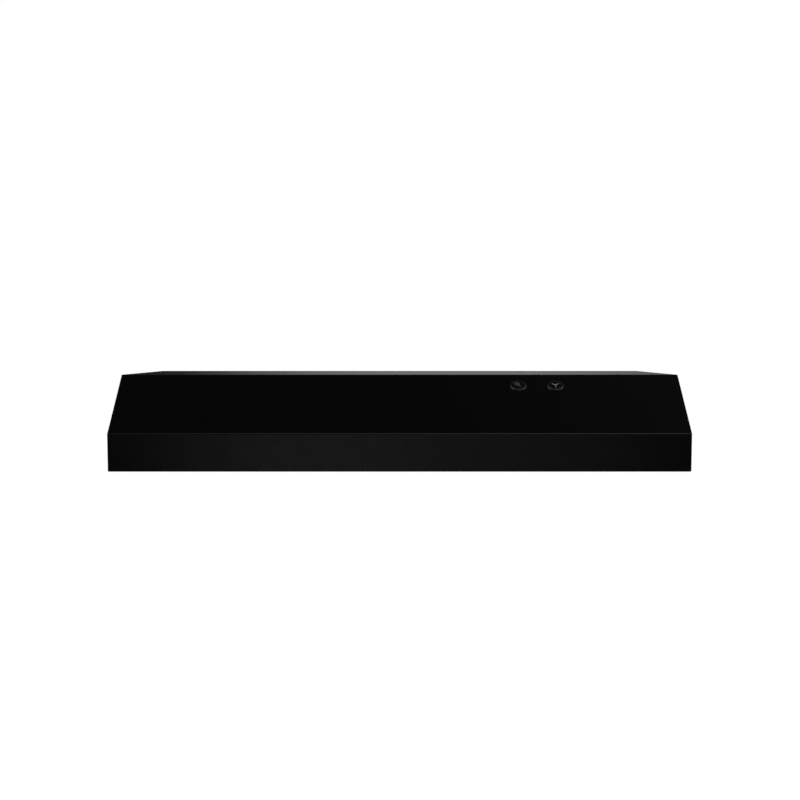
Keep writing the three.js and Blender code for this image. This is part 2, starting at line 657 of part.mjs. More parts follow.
function makeFilterLatch() {
  const { halfWidth, top, front } = LATCH;
  const rear = FILTER_FRONT + 28;
  const plate = box([-halfWidth, halfWidth], [front, rear], [top - STRIP, top]);
  const grip = box([-halfWidth + 4, halfWidth - 4], [rear - 6, rear - 4], [top - 8, top - STRIP + 0.2]);
  place("filter_latch", join(plate, grip), MATERIAL.blackPlastic);

  const across = [FILTER_FRONT + 3, FILTER_FRONT + 9];
  const under = top - STRIP - GAP;
  const bridge = box([-halfWidth - 2, halfWidth + 2], across, [under - 1, under]);
  const sides = [-1, 1].flatMap((side) => {
    const post = [side * (halfWidth + 0.5), side * (halfWidth + 2)].sort((a, b) => a - b);
    const foot = [side * (halfWidth + 0.5), side * (halfWidth + 10)].sort((a, b) => a - b);
    return [box(post, across, [under - 0.5, top]), box(foot, across, [top - 1, top])];
  });
  place("latch_guide", join(bridge, ...sides), MATERIAL.steel);
}

// ---------------------------------------------------------------- the lamp

const SOCKET = { back: 172, front: 208, radius: 19, bore: 13.6 };
const LENS_FRONT = LAMP.y - 82;
const LENS_REAR = LAMP.y + 82;
const LENS_TOP = LAMP.floor - 0.4;
const LENS_ARMS = [202, 270, 338];
const LENS_CLIPS = [226, 314];

function makeReflector() {
  const { left, right, y, floor, bulbZ } = LAMP;
  const line = [
    [y - 80, floor + SHEET],
    [y - 70, floor + SHEET],
    [y - 46, UNDER_TOP],
    [y + 46, UNDER_TOP],
    [y + 70, floor + SHEET],
    [y + 100, floor + SHEET],
  ];
  const trough = extrudeX(sheetShape(line, -SHEET), [left, right]);
  const end = polygon([
    [y - 70, floor],
    [y + 70, floor],
    [y + 46, UNDER_TOP - 0.5],
    [y - 46, UNDER_TOP - 0.5],
  ]);
  const leftEnd = extrudeX(end, [left, left + SHEET]);
  const rightEnd = extrudeX(end, [right - SHEET, right]);
  const hole = rodX(SOCKET.radius + 0.5, [left - 2, left + 2], y, bulbZ, 32);
  place("lamp_reflector", cut(join(trough, leftEnd, rightEnd), hole), MATERIAL.reflector);
}

function alongX(geometry, x) {
  return geometry.rotateY(Math.PI / 2).translate(x, LAMP.y, LAMP.bulbZ);
}

function makeSocketAndBulb() {
  const { back, front, radius, bore } = SOCKET;
  const depth = front - back;
  const collarFront = LAMP.left - GAP - back;
  const socket = turned(
    [
      [0, 0],
      [radius - 4, 0],
      [radius, 6],
      [radius, collarFront - 3],
      [radius + 4, collarFront - 3],
      [radius + 4, collarFront],
      [radius, collarFront],
      [radius, depth],
      [bore, depth],
      [bore, 12],
      [0, 12],
    ],
    24,
  );
  place("lamp_socket", alongX(socket, back), MATERIAL.whitePlastic);

  const baseLength = 25;
  const base = turned([[0, 0], [5, 0], [9, 3], [13, 5], [13, baseLength], [0, baseLength]], 20);
  place("bulb_base", alongX(base, back + 12 + GAP), MATERIAL.brass);

  const glassSizes = [[12.6, 0], [14, 8], [20.5, 22], [24, 38], [21, 53], [12, 62.5], [0, 66]];
  const glassLine = new THREE.SplineCurve(glassSizes.map(([r, h]) => new THREE.Vector2(r, h)));
  const curved = glassLine.getPoints(8).map((point) => [Math.max(point.x, 0), point.y]);
  curved[curved.length - 1][0] = 0;
  const glass = turned([[0, 0], ...curved], 20);
  place("bulb_glass", alongX(glass, back + 12 + baseLength + 2 * GAP), MATERIAL.frostedGlass);
}

function makeLens() {
  const { left, right } = LAMP;
  const { margin, depth, wall, hingeY, hingeZ } = LENS;
  const [x0, x1] = [left - margin, right + margin];
  const bottom = LENS_TOP - depth;
  const tray = box([x0, x1], [LENS_FRONT, LENS_REAR], [bottom, LENS_TOP]);
  const across = [LENS_FRONT + wall, LENS_REAR - wall];
  const hollow = box([x0 + wall, x1 - wall], across, [bottom + wall, LENS_TOP + 1]);
  const slots = [-1, 1].flatMap((row) =>
    [-2, -1, 0, 1, 2].map((column) => {
      const x = (x0 + x1) / 2 + column * 26;
      const y = LAMP.y + row * 62;
      return box([x - 9, x + 9], [y - 1.5, y + 1.5], [bottom - 1, bottom + wall + 1]);
    }),
  );
  const barrel = rodX(2, [left + 6, right - 6], hingeY, hingeZ, 16);
  const arms = LENS_ARMS.map((x) =>
    box([x - 4, x + 4], [LENS_REAR - 0.5, hingeY], [hingeZ - 1, hingeZ + 1]),
  );
  place("lamp_lens", join(cut(tray, hollow, ...slots), barrel, ...arms), MATERIAL.lensPlastic);

  LENS_CLIPS.forEach((x, i) => {
    const block = box([x - 6, x + 6], [hingeY - 4.2, hingeY + 4.2], [hingeZ - 3.5, LAMP.floor - GAP]);
    const bore = rodX(2.4, [x - 7, x + 7], hingeY, hingeZ, 16);
    const mouth = box([x - 7, x + 7], [hingeY - 1.6, hingeY + 1.6], [hingeZ - 5, hingeZ]);
    place(`lens_clip_${i + 1}`, cut(block, bore, mouth), MATERIAL.whitePlastic);
  });
}

// ---------------------------------------------------------------- the two push buttons

const CAP = { radius: 8, crown: 2.3, skirt: -8, stem: 2.2, stemEnd: -12.6 };
const SWITCH = { top: -16.5, bottom: -33, half: 8.5, terminalEnd: -39, terminalX: 4 };

class Helix extends THREE.Curve {
  constructor(radius, [z0, z1], turns) {
    super();
    Object.assign(this, { radius, z0, z1, turns });
  }

  getPoint(t, target = new THREE.Vector3()) {
    const angle = 2 * Math.PI * this.turns * t;
    const z = this.z0 + (this.z1 - this.z0) * t;
    return target.set(this.radius * Math.cos(angle), this.radius * Math.sin(angle), z);
  }
}

function circle(radius, sides) {
  return polygon(
    Array.from({ length: sides }, (_, i) => {
      const angle = (2 * Math.PI * i) / sides;
      return [radius * Math.cos(angle), radius * Math.sin(angle)];
    }),
  );
}

function alongPath(curve, radius, sides, steps) {
  const options = { extrudePath: curve, steps, bevelEnabled: false };
  return new THREE.ExtrudeGeometry(circle(radius, sides), options);
}

function bezelOutline() {
  const [inner, barrel, flange] = [CAP.radius + 0.45, 9.4, 11];
  return [
    [inner, -15],
    [barrel, -15],
    [barrel, GAP],
    [flange, GAP],
    [flange, 1.1],
    [flange - 0.8, 1.9],
    [inner + 0.5, 1.9],
    [inner, 1.4],
  ];
}

function capOutline() {
  const { radius, crown, skirt, stem, stemEnd } = CAP;
  return [
    [0, crown],
    [radius - 1.6, crown - 0.1],
    [radius, crown - 0.9],
    [radius, skirt],
    [radius - 1.2, skirt],
    [radius - 1.2, -0.6],
    [stem, -0.6],
    [stem, stemEnd],
    [0, stemEnd],
  ];
}

function switchBody() {
  const { top, bottom, half, terminalEnd, terminalX } = SWITCH;
  const body = box([-half, half], [-half, half], [bottom, top]);
  const collar = turned([[9.7, top - 0.5], [11.2, top - 0.5], [11.2, -9], [9.7, -9]], 20);
  const stopPlate = rodZ(11.2, 0, 0, [top - 0.5, top + 0.6], 20);
  const terminals = [-terminalX, terminalX].map((x) =>
    box([x - 0.4, x + 0.4], [-2.5, 2.5], [terminalEnd, bottom + 0.5]),
  );
  return join(body, stopPlate, collar, ...terminals);
}

function makeButton(name, x) {
  const holder = onSlope(x, BUTTON.downSlope);
  group.add(holder);
  place(`${name}_button_bezel`, turned(bezelOutline(), 20), MATERIAL.blackPlastic, holder);
  place(`${name}_button_cap`, turned(capOutline(), 20), MATERIAL.blackPlastic, holder);
  const nut = hexPrism(26, 9.7, [-SHEET - GAP - 3, -SHEET - GAP]);
  place(`${name}_button_nut`, nut, MATERIAL.greyPlastic, holder);
  const spring = alongPath(new Helix(3.7, [SWITCH.top + 1.5, -1.3], 6), 0.35, 4, 40);
  place(`${name}_button_spring`, spring, MATERIAL.steel, holder);
  place(`${name}_switch`, switchBody(), MATERIAL.greyPlastic, holder);
}

// ---------------------------------------------------------------- the wiring

function makeWiringCover() {
  const { left, right, front, back, depth } = WIRING_BOX;
  const outer = box([left, right], [front, back], [-depth, UNDER_TOP]);
  const inner = box([left + SHEET, right - SHEET], [front + SHEET, back - SHEET], [SHEET - depth, 0]);
  const tab = box([left - 14, left + 0.5], [front + 20, back - 20], [UNDER_TOP - SHEET, UNDER_TOP]);
  const leadHole = rodY(LEAD_RADIUS + 2, 300, [front - 3, front + 3], -20);
  const middleY = (front + back) / 2;
  const screwHole = rodZ(SCREW_HOLE, left - 7, middleY, [-6, 0], 12);
  place("wiring_cover", cut(join(cut(outer, inner), tab), leadHole, screwHole), MATERIAL.galvanised);
  placeScrew("wiring_cover_screw", left - 7, middleY, UNDER_TOP - SHEET - GAP, 1.2);
}

// Where a lead meets a switch terminal, and a point straight behind it.
function terminalEnds(x, terminalX) {
  const holder = onSlope(x, BUTTON.downSlope);
  const behind = (distance) =>
    new THREE.Vector3(terminalX, 0, SWITCH.terminalEnd - distance).applyMatrix4(holder.matrixWorld);
  return [behind(14), behind(GAP)];
}

function makeLead(name, route, ends) {
  const points = [...route.map((point) => new THREE.Vector3(...point)), ...ends];
  const curve = new THREE.CatmullRomCurve3(points, false, "centripetal");
  place(name, alongPath(curve, LEAD_RADIUS, 8, 24), MATERIAL.lead);
}

function makeLeads() {
  const motorRoute = [
    [19.1, 122, -36],
    [34, 122, -35],
    [80, 112, -20],
    [108, 60, -13],
    [LEAD_HOLE.x, -40, -18],
    [LEAD_HOLE.x, -84, LEAD_HOLE.z],
    [LEAD_HOLE.x, -100, LEAD_HOLE.z],
    [130, -108, -50],
    [170, -103, -68],
    [198, -101, -68],
  ];
  makeLead("motor_lead", motorRoute, terminalEnds(BUTTON.rightX, -SWITCH.terminalX));
  const lampRoute = [
    [SOCKET.back - 0.6, LAMP.y, LAMP.bulbZ],
    [169, LAMP.y, LAMP.bulbZ],
    [165, LAMP.y - 12, LAMP.bulbZ - 1],
    [165, -70, -60],
    [165, -92, -64],
  ];
  makeLead("lamp_lead", lampRoute, terminalEnds(BUTTON.leftX, SWITCH.terminalX));
  const supplyRoute = [
    [300, 128, -20],
    [300, 98, -20],
    [330, 82, -20],
    [358, 50, -22],
    [358, -60, -24],
    [346, -98, -40],
    [300, -108, -64],
    [236, -101, -70],
  ];
  makeLead("supply_lead", supplyRoute, terminalEnds(BUTTON.rightX, SWITCH.terminalX));
}

// ---------------------------------------------------------------- the whole hood

makeHoodShell();
makeSidePanel("side_panel_left", -1);
makeSidePanel("side_panel_right", 1);
makeBackPanel();
makeKnockouts();
makeDuctConnector();
makeDamper();
makeFanHousing();
makeMotorBracket();
makeMotorCore();
makeMotorCovers();
makeMotorFixings();
makeRotor();
makeFan();
makeFilter();
makeFilterClips();
makeFilterLatch();
makeReflector();
makeSocketAndBulb();
makeLens();
makeButton("light", BUTTON.leftX);
makeButton("fan", BUTTON.rightX);
makeWiringCover();
makeLeads();

export default group;
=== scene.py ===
import json
import math

import bmesh
import bpy
from mathutils import Matrix, Vector


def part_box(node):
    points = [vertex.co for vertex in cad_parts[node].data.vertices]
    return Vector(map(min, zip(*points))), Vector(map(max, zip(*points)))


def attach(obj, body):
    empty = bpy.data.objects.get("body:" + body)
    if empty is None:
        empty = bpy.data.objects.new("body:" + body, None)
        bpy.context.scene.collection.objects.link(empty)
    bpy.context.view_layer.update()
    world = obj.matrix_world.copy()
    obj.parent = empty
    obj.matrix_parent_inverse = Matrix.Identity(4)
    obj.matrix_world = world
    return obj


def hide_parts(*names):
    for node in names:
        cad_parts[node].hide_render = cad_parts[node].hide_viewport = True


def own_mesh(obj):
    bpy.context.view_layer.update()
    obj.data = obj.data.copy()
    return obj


# The finished look of an under cabinet range hood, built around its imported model.
# Metres. +X is to the right of a person facing the hood, -Y is towards that person, +Z is up.

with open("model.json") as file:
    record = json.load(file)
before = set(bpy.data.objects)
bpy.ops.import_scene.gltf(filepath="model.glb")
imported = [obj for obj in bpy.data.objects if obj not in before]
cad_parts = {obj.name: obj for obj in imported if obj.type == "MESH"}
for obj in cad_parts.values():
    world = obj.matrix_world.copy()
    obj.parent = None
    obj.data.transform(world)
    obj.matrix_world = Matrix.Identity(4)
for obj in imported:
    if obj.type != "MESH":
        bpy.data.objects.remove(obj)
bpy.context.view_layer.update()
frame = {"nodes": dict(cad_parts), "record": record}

# ---------------------------------------------------------------- sizes, worked out from the frame

SHELL_LOW, SHELL_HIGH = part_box("hood_shell")
FRONT = SHELL_LOW.y
BACK = SHELL_HIGH.y
BOTTOM = SHELL_LOW.z
TOP = SHELL_HIGH.z
SHELL_HALF = SHELL_HIGH.x
HALF_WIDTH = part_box("side_panel_right")[1].x
SHEET = 0.001
GAP = 0.0003
BEND = 0.003
LIP_BEND = 0.0012
EDGE_RADIUS = 0.0014
WRAPPER_END = HALF_WIDTH - 0.0021
UNDER_TOP = TOP - SHEET - GAP
SLOPE_SETBACK = 0.106
SLOPE_RISE = 0.074
SLOPE_ANGLE = math.atan2(SLOPE_RISE, SLOPE_SETBACK)
RETURN_FLANGE = 0.022
HEM = 0.012
SUPPORT = 0.0004
SMOOTH_ANGLE = math.radians(32)

# ---------------------------------------------------------------- camera

FOCAL_LENGTH_MM = 64.54
CAMERA_PITCH = math.radians(6)
CAMERA_DISTANCE = 1.858
CAMERA_HEIGHT = 0.0345
CAMERA_SHIFT = (0.0005, 0.12495)


def make_camera():
    data = bpy.data.cameras.new("camera")
    data.sensor_width = 36
    data.lens = FOCAL_LENGTH_MM
    data.shift_x, data.shift_y = CAMERA_SHIFT
    data.clip_end = 50
    camera = bpy.data.objects.new("camera", data)
    camera.location = (0, FRONT - CAMERA_DISTANCE, CAMERA_HEIGHT)
    camera.rotation_euler = (math.pi / 2 - CAMERA_PITCH, 0, 0)
    bpy.context.scene.collection.objects.link(camera)
    bpy.context.scene.camera = camera


# ---------------------------------------------------------------- node helpers


class Shader:
    """A material, or the world, with short calls for the nodes used here."""

    def __init__(self, owner):
        owner.use_nodes = True
        self.tree = owner.node_tree
        self.tree.nodes.clear()

    def node(self, kind, settings=None, **inputs):
        """A node with its settings and inputs. An input is called by its name, or as i and its number."""
        node = self.tree.nodes.new(kind)
        for key, value in (settings or {}).items():
            setattr(node, key, value)
        for key, value in inputs.items():
            socket = node.inputs[int(key[1:]) if key[1:].isdigit() else key.replace("_", " ")]
            if isinstance(value, bpy.types.NodeSocket):
                self.tree.links.new(value, socket)
            else:
                socket.default_value = value
        return node

    def coordinates(self, stretch=(1, 1, 1)):
        place = self.node("ShaderNodeTexCoord").outputs["Object"]
        return self.node("ShaderNodeMapping", i0=place, i3=stretch).outputs[0]

    def noise(self, where, scale, detail=3, roughness=0.5):
        inputs = {"Vector": where, "Scale": scale, "Detail": detail, "Roughness": roughness}
        return self.node("ShaderNodeTexNoise", **inputs).outputs[0]

    def cells(self, where, scale, output="Color"):
        return self.node("ShaderNodeTexVoronoi", Vector=where, Scale=scale).outputs[output]

    def bands(self, where, scale, distortion, direction):
        settings = {"wave_type": "BANDS", "bands_direction": direction}
        node = self.node("ShaderNodeTexWave", settings, Vector=where, Scale=scale, Distortion=distortion)
        return node.outputs["Fac"]

    def math(self, operation, a, b):
        return self.node("ShaderNodeMath", {"operation": operation}, i0=a, i1=b).outputs[0]

    def span(self, value, low, high, smooth=False, source=(0, 1)):
        settings = {"interpolation_type": "SMOOTHSTEP"} if smooth else {}
        start, end = source
        node = self.node("ShaderNodeMapRange", settings, i0=value, i1=start, i2=end, i3=low, i4=high)
        return node.outputs[0]

    def ramp(self, value, *stops):
        node = self.node("ShaderNodeValToRGB", i0=value)
        for element, (position, colour) in zip(node.color_ramp.elements, stops):
            element.position = position
            element.color = (*colour, 1)
        return node.outputs[0]

    def bump(self, height, distance, strength=1, **inputs):
        inputs.update(Strength=strength, Distance=distance, Height=height)
        return self.node("ShaderNodeBump", **inputs).outputs[0]

    def surface(self, **inputs):
        shader = self.node("ShaderNodeBsdfPrincipled", **inputs)
        self.node("ShaderNodeOutputMaterial", i0=shader.outputs[0])


def shaded(name):
    material = bpy.data.materials.new(name)
    return material, Shader(material)


def grey(level):
    return (level, level, level)


# ---------------------------------------------------------------- materials

# How far red, green and blue spread inside a milky material, as shares of one scale.
MILKY_RADIUS = (1, 0.96, 0.9)


def black_enamel():
    """Gloss powder coat over sheet: near black, fine orange peel, and a sheet that isn't quite flat."""
    material, s = shaded("black_enamel")
    where = s.coordinates()
    waves = s.bump(s.noise(where, 4, 1), 0.0006)
    s.surface(
        Base_Color=s.ramp(s.noise(where, 14, 5, 0.6), (0.3, grey(0.0015)), (0.7, grey(0.0024))),
        Roughness=s.span(s.noise(where, 60, 6, 0.65), 0.14, 0.22),
        IOR=1.5,
        Normal=s.bump(s.noise(where, 420, 2), 0.00003, 0.7, Normal=waves),
    )
    return material


def galvanised_steel():
    """Zinc spangle: flat crystals, each with its own grey and its own gloss."""
    material, s = shaded("galvanised_steel")
    where = s.coordinates()
    crystals = s.math("MULTIPLY", s.cells(where, 150), 0.6)
    blend = s.math("ADD", crystals, s.math("MULTIPLY", s.noise(where, 22, 4), 0.4))
    s.surface(
        Base_Color=s.ramp(blend, (0.2, (0.38, 0.40, 0.42)), (0.8, (0.62, 0.64, 0.65))),
        Metallic=1,
        Roughness=s.span(blend, 0.34, 0.52),
        Normal=s.bump(s.noise(where, 900, 2), 0.00002, 0.6),
    )
    return material


def laminated_core():
    """Stacked 0.5 mm laminations seen on edge, with a thin varnish."""
    material, s = shaded("laminated_core")
    where = s.coordinates()
    layers = s.bands(where, 320, 0.3, "Z")
    s.surface(
        Base_Color=s.ramp(layers, (0.1, (0.10, 0.10, 0.11)), (0.7, (0.34, 0.34, 0.35))),
        Metallic=0.85,
        Roughness=s.span(s.noise(where, 200, 4), 0.35, 0.55),
        Normal=s.bump(layers, 0.00008, 0.8),
        Coat_Weight=0.2,
    )
    return material


def copper_winding():
    """Enamelled wire laid side by side."""
    material, s = shaded("copper_winding")
    where = s.coordinates()
    turns = s.bands(where, 520, 0.25, "X")
    s.surface(
        Base_Color=s.ramp(s.noise(where, 260), (0.3, (0.36, 0.12, 0.035)), (0.7, (0.62, 0.26, 0.09))),
        Metallic=0.9,
        Roughness=s.span(turns, 0.45, 0.24),
        Normal=s.bump(turns, 0.00018, 0.9),
        Coat_Weight=0.5,
    )
    return material


def sintered_bronze():
    material, s = shaded("sintered_bronze")
    pores = s.cells(s.coordinates(), 1500, "Distance")
    s.surface(
        Base_Color=s.ramp(pores, (0.1, (0.20, 0.12, 0.05)), (0.5, (0.50, 0.33, 0.15))),
        Metallic=0.9,
        Roughness=s.span(pores, 0.6, 0.38),
        Normal=s.bump(pores, 0.00004, 0.8),
    )
    return material


def mottled(name, colours, patches, rough, grain, relief=None, stops=(0.3, 0.7), stretch=(1, 1, 1), **more):
    """A surface whose colour drifts in patches and whose roughness follows a finer grain.

    patches and grain are each the scale and detail of a noise, and at times its roughness. relief is the same
    for the fine bumps, then their depth and strength.
    """
    material, s = shaded(name)
    fine = s.coordinates(stretch)
    if relief:
        noise, depth, strength = relief
        more["Normal"] = s.bump(s.noise(fine, *noise), depth, strength)
    s.surface(
        Base_Color=s.ramp(s.noise(s.coordinates(), *patches), *zip(stops, colours)),
        Roughness=s.span(s.noise(fine, *grain), *rough),
        **more,
    )
    return material


def plated_steel():
    """Zinc-plated hardware with a faint drawn grain and dull patches."""
    colours = ((0.42, 0.42, 0.43), (0.64, 0.64, 0.63))
    grain = (900, 3)
    relief = (grain, 0.00002, 0.5)
    along_z = {"stops": (0.3, 0.75), "stretch": (1, 1, 9), "Metallic": 1}
    return mottled("plated_steel", colours, (130, 4), (0.24, 0.42), grain, relief, **along_z)


def cast_zinc():
    colours = (grey(0.36), grey(0.52))
    skin = (480, 5, 0.7)
    relief = (skin, 0.00006, 0.8)
    return mottled("cast_zinc", colours, (90, 4), (0.42, 0.62), skin, relief, (0.3, 0.75), Metallic=0.9)


def rolled_aluminium():
    """Roll-formed strip: bright, with a grain along the roll and small handling marks."""
    colours = (grey(0.66), grey(0.80))
    grain = (30, 4)
    relief = (grain, 0.00002, 0.5)
    along_x = {"stretch": (1, 60, 60), "Metallic": 1}
    return mottled("rolled_aluminium", colours, (70, 6, 0.7), (0.24, 0.40), grain, relief, **along_x)


def filter_strand():
    return mottled("filter_strand", (grey(0.60), grey(0.82)), (180, 3), (0.22, 0.36), (700, 2), Metallic=1)


def bright_brass():
    colours = ((0.50, 0.35, 0.12), (0.72, 0.54, 0.22))
    relief = ((900, 2), 0.00001, 0.5)
    return mottled("bright_brass", colours, (160, 4), (0.2, 0.36), (500, 4), relief, Metallic=1)


def white_enamel():
    """Baked white enamel on the lamp reflector."""
    colours = ((0.74, 0.74, 0.71), (0.83, 0.83, 0.80))
    return mottled("white_enamel", colours, (16, 5), (0.24, 0.36), (90, 4), ((500, 2), 0.00003, 0.6))


def moulded_plastic(name, dark, light, rough, texture=0.00002, **more):
    """Moulded plastic with a fine spark-eroded texture and slight flow marks."""
    relief = ((1600, 2), texture, 0.7)
    return mottled(name, (dark, light), (45, 4, 0.6), (rough - 0.05, rough + 0.07), (350, 4), relief, **more)


def satin_plastic():
    """Hard lacquer over black plastic."""
    lacquer = {"Coat_Weight": 0.5, "Coat_IOR": 1.8, "Coat_Roughness": 0.26, "Specular_IOR_Level": 0.9}
    return moulded_plastic("satin_plastic", grey(0.004), grey(0.006), 0.32, **lacquer)


def lens_plastic():
    """Milky translucent plastic with a fine moulded frost."""
    colours = ((0.86, 0.86, 0.84), (0.91, 0.91, 0.90))
    milk = {"Transmission_Weight": 0.22, "IOR": 1.49, "Subsurface_Weight": 0.3, "Subsurface_Scale": 0.003}
    milk["Subsurface_Radius"] = MILKY_RADIUS
    frost = ((700, 2), 0.00002, 0.5)
    return mottled("lens_plastic", colours, (24, 3), (0.26, 0.36), (200, 3), frost, **milk)


def frosted_glass():
    colours = ((0.86, 0.86, 0.83), (0.93, 0.93, 0.91))
    milk = {"Transmission_Weight": 0.35, "IOR": 1.5, "Subsurface_Weight": 0.2, "Subsurface_Scale": 0.004}
    milk["Subsurface_Radius"] = MILKY_RADIUS
    return mottled("frosted_glass", colours, (60, 3), (0.3, 0.42), (300, 3), **milk)


def black_rubber():
    relief = ((1100, 3), 0.00004, 0.7)
    return mottled("black_rubber", (grey(0.012), grey(0.028)), (120, 4), (0.6, 0.8), (400, 4), relief)


def pictogram_ink(name, level):
    """A moulded-in mark, a little uneven."""
    return mottled(name, (grey(level * 0.85), grey(level)), (900, 3), (0.35, 0.5), (700, 3))


MATERIALS = {
    "black_paint": black_enamel(),
    "galvanised": galvanised_steel(),
    "steel": plated_steel(),
    "lamination": laminated_core(),
    "copper_winding": copper_winding(),
    "cast_zinc": cast_zinc(),
    "bronze": sintered_bronze(),
    "filter_aluminium": rolled_aluminium(),
    "filter_mesh": filter_strand(),
    "brass": bright_brass(),
    "reflector": white_enamel(),
    "black_plastic": moulded_plastic("black_plastic", grey(0.003), grey(0.005), 0.24),
    "satin_plastic": satin_plastic(),
    "grey_plastic": moulded_plastic("grey_plastic", grey(0.16), grey(0.20), 0.45, 0.00003),
    "white_plastic": moulded_plastic("white_plastic", (0.66, 0.65, 0.6), (0.74, 0.73, 0.68), 0.4),
    "lens_plastic": lens_plastic(),
    "frosted_glass": frosted_glass(),
    "rubber": black_rubber(),
    "lead": moulded_plastic("lead_sleeve", grey(0.014), grey(0.022), 0.42, 0.00003),
}
SLOTS = {part["node"]: part["material_slot"] for part in frame["record"]["subparts"]}
BODIES = {node: body for body, nodes in frame["record"]["behaviour"]["bodies"].items() for node in nodes}


def dress_cad_nodes():
    for name, node in frame["nodes"].items():
        node.data.materials.clear()
        node.data.materials.append(MATERIALS[SLOTS[name]])
        node.data.shade_smooth()
        node.data.set_sharp_from_angle(angle=SMOOTH_ANGLE)


# ---------------------------------------------------------------- mesh helpers

AXIS_REACH = 1e-9


def with_modifier(mesh, kind, **settings):
    """The mesh with one modifier applied."""
    holder = bpy.data.objects.new("holder", mesh)
    bpy.context.scene.collection.objects.link(holder)
    modifier = holder.modifiers.new(kind, kind)
    for key, value in settings.items():
        setattr(modifier, key, value)
    bpy.context.view_layer.update()
    result = bpy.data.meshes.new_from_object(holder.evaluated_get(bpy.context.evaluated_depsgraph_get()))
    bpy.data.objects.remove(holder)
    return result


def new_piece(name, mesh, slot, body, material=None):
    """A mesh becomes a finished piece: smooth shaded, wide faces kept flat, riding on its body."""
    mesh.shade_smooth()
    mesh.set_sharp_from_angle(angle=SMOOTH_ANGLE)
    mesh = with_modifier(mesh, "WEIGHTED_NORMAL", mode="FACE_AREA", weight=100, keep_sharp=True)
    mesh.materials.clear()
    mesh.materials.append(material or MATERIALS[slot])
    piece = bpy.data.objects.new(name, mesh)
    bpy.context.scene.collection.objects.link(piece)
    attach(piece, body)
    return piece


def remake(node, name, mesh, material=None):
    """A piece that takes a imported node's place, on the same body and in the same slot."""
    piece = new_piece(name, mesh, SLOTS[node], BODIES[node], material)
    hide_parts(node)
    return piece


def to_mesh(bm):
    bmesh.ops.recalc_face_normals(bm, faces=bm.faces)
    mesh = bpy.data.meshes.new("mesh")
    bm.to_mesh(mesh)
    bm.free()
    return mesh


def placed(mesh, matrix):
    mesh.transform(matrix)
    return mesh


def bridge(bm, rings, closed=False):
    """Faces between neighbouring rings, which may be single points. Ends are capped, or joined when closed."""
    if not closed:
        for end in (rings[0], rings[-1]):
            if len(end) > 1:
                bm.faces.new(end)
    for low, high in zip(rings, rings[1:] + (rings[:1] if closed else [])):
        steps = max(len(low), len(high))
        for k in range(steps):
            n = (k + 1) % steps
            corners = (low[k % len(low)], low[n % len(low)], high[n % len(high)], high[k % len(high)])
            bm.faces.new(list(dict.fromkeys(corners)))


def loft(section, outline_at, closed=True):
    """A section carried round an outline: each point of the section has its own ring of points."""
    bm = bmesh.new()
    bridge(bm, [[bm.verts.new(p) for p in outline_at(*point)] for point in section], closed)
    return to_mesh(bm)


def prism(outline, axis, low, high):
    """A closed outline of (a, b) points, run along X, Y or Z from low to high."""
    place = {
        "X": lambda a, b, h: (h, a, b),
        "Y": lambda a, b, h: (a, h, b),
        "Z": lambda a, b, h: (a, b, h),
    }[axis]
    return loft([(low,), (high,)], lambda h: [place(a, b, h) for a, b in outline], closed=False)


def arc(start, end, steps):
    """Angles in radians from start to end, which are in degrees."""
    return [math.radians(start + (end - start) * k / steps) for k in range(steps + 1)]


def arc_points(centre, radius, start, end, steps):
    x, y = centre
    return [(x + radius * math.cos(a), y + radius * math.sin(a)) for a in arc(start, end, steps)]


def circle(radius, x=0.0, y=0.0, steps=48):
    return arc_points((x, y), radius, 0, 360, steps)[:-1]


def rounded_rectangle(width, height, radius, x=0.0, y=0.0, steps=8):
    points = []
    for quarter, (sx, sy) in enumerate(((1, 1), (-1, 1), (-1, -1), (1, -1))):
        centre = (x + sx * (width / 2 - radius), y + sy * (height / 2 - radius))
        points += arc_points(centre, radius, 90 * quarter, 90 * quarter + 90, steps)
    return points


def lathe(profile, steps=64, matrix=Matrix.Identity(4)):
    """A profile of (radius, height) points turned about Z. Points on the axis close it."""
    bm = bmesh.new()
    rings = []
    for radius, height in profile:
        outline = circle(radius, steps=steps) if radius > AXIS_REACH else [(0, 0)]
        rings.append([bm.verts.new((x, y, height)) for x, y in outline])
    bridge(bm, rings, closed=len(rings[0]) > 1)
    return placed(to_mesh(bm), matrix)


def studs(profile, places, turn=Matrix.Identity(4)):
    """The same small turned shape at several places."""
    return [lathe(profile, 24, Matrix.Translation(place) @ turn) for place in places]


def bar_profile(radius, low, high, bevel=0.0004):
    """The profile of a round bar with bevelled ends."""
    start = [(0, low), (radius - bevel, low), (radius, low + bevel)]
    return start + [(radius, high - bevel), (radius - bevel, high), (0, high)]


def lying_along_x(start, y, z):
    """The frame of a turned piece whose axis runs along X."""
    return Matrix.Translation((start, y, z)) @ Matrix.Rotation(math.pi / 2, 4, "Y")


def thread(crest, root, start, end, pitch):
    """Profile points of a thread, a crest and a root for each turn that begins below the end."""
    points = []
    rise = start
    while rise < end:
        points += [(crest, rise), (root, rise + pitch / 2)]
        rise += pitch
    return points


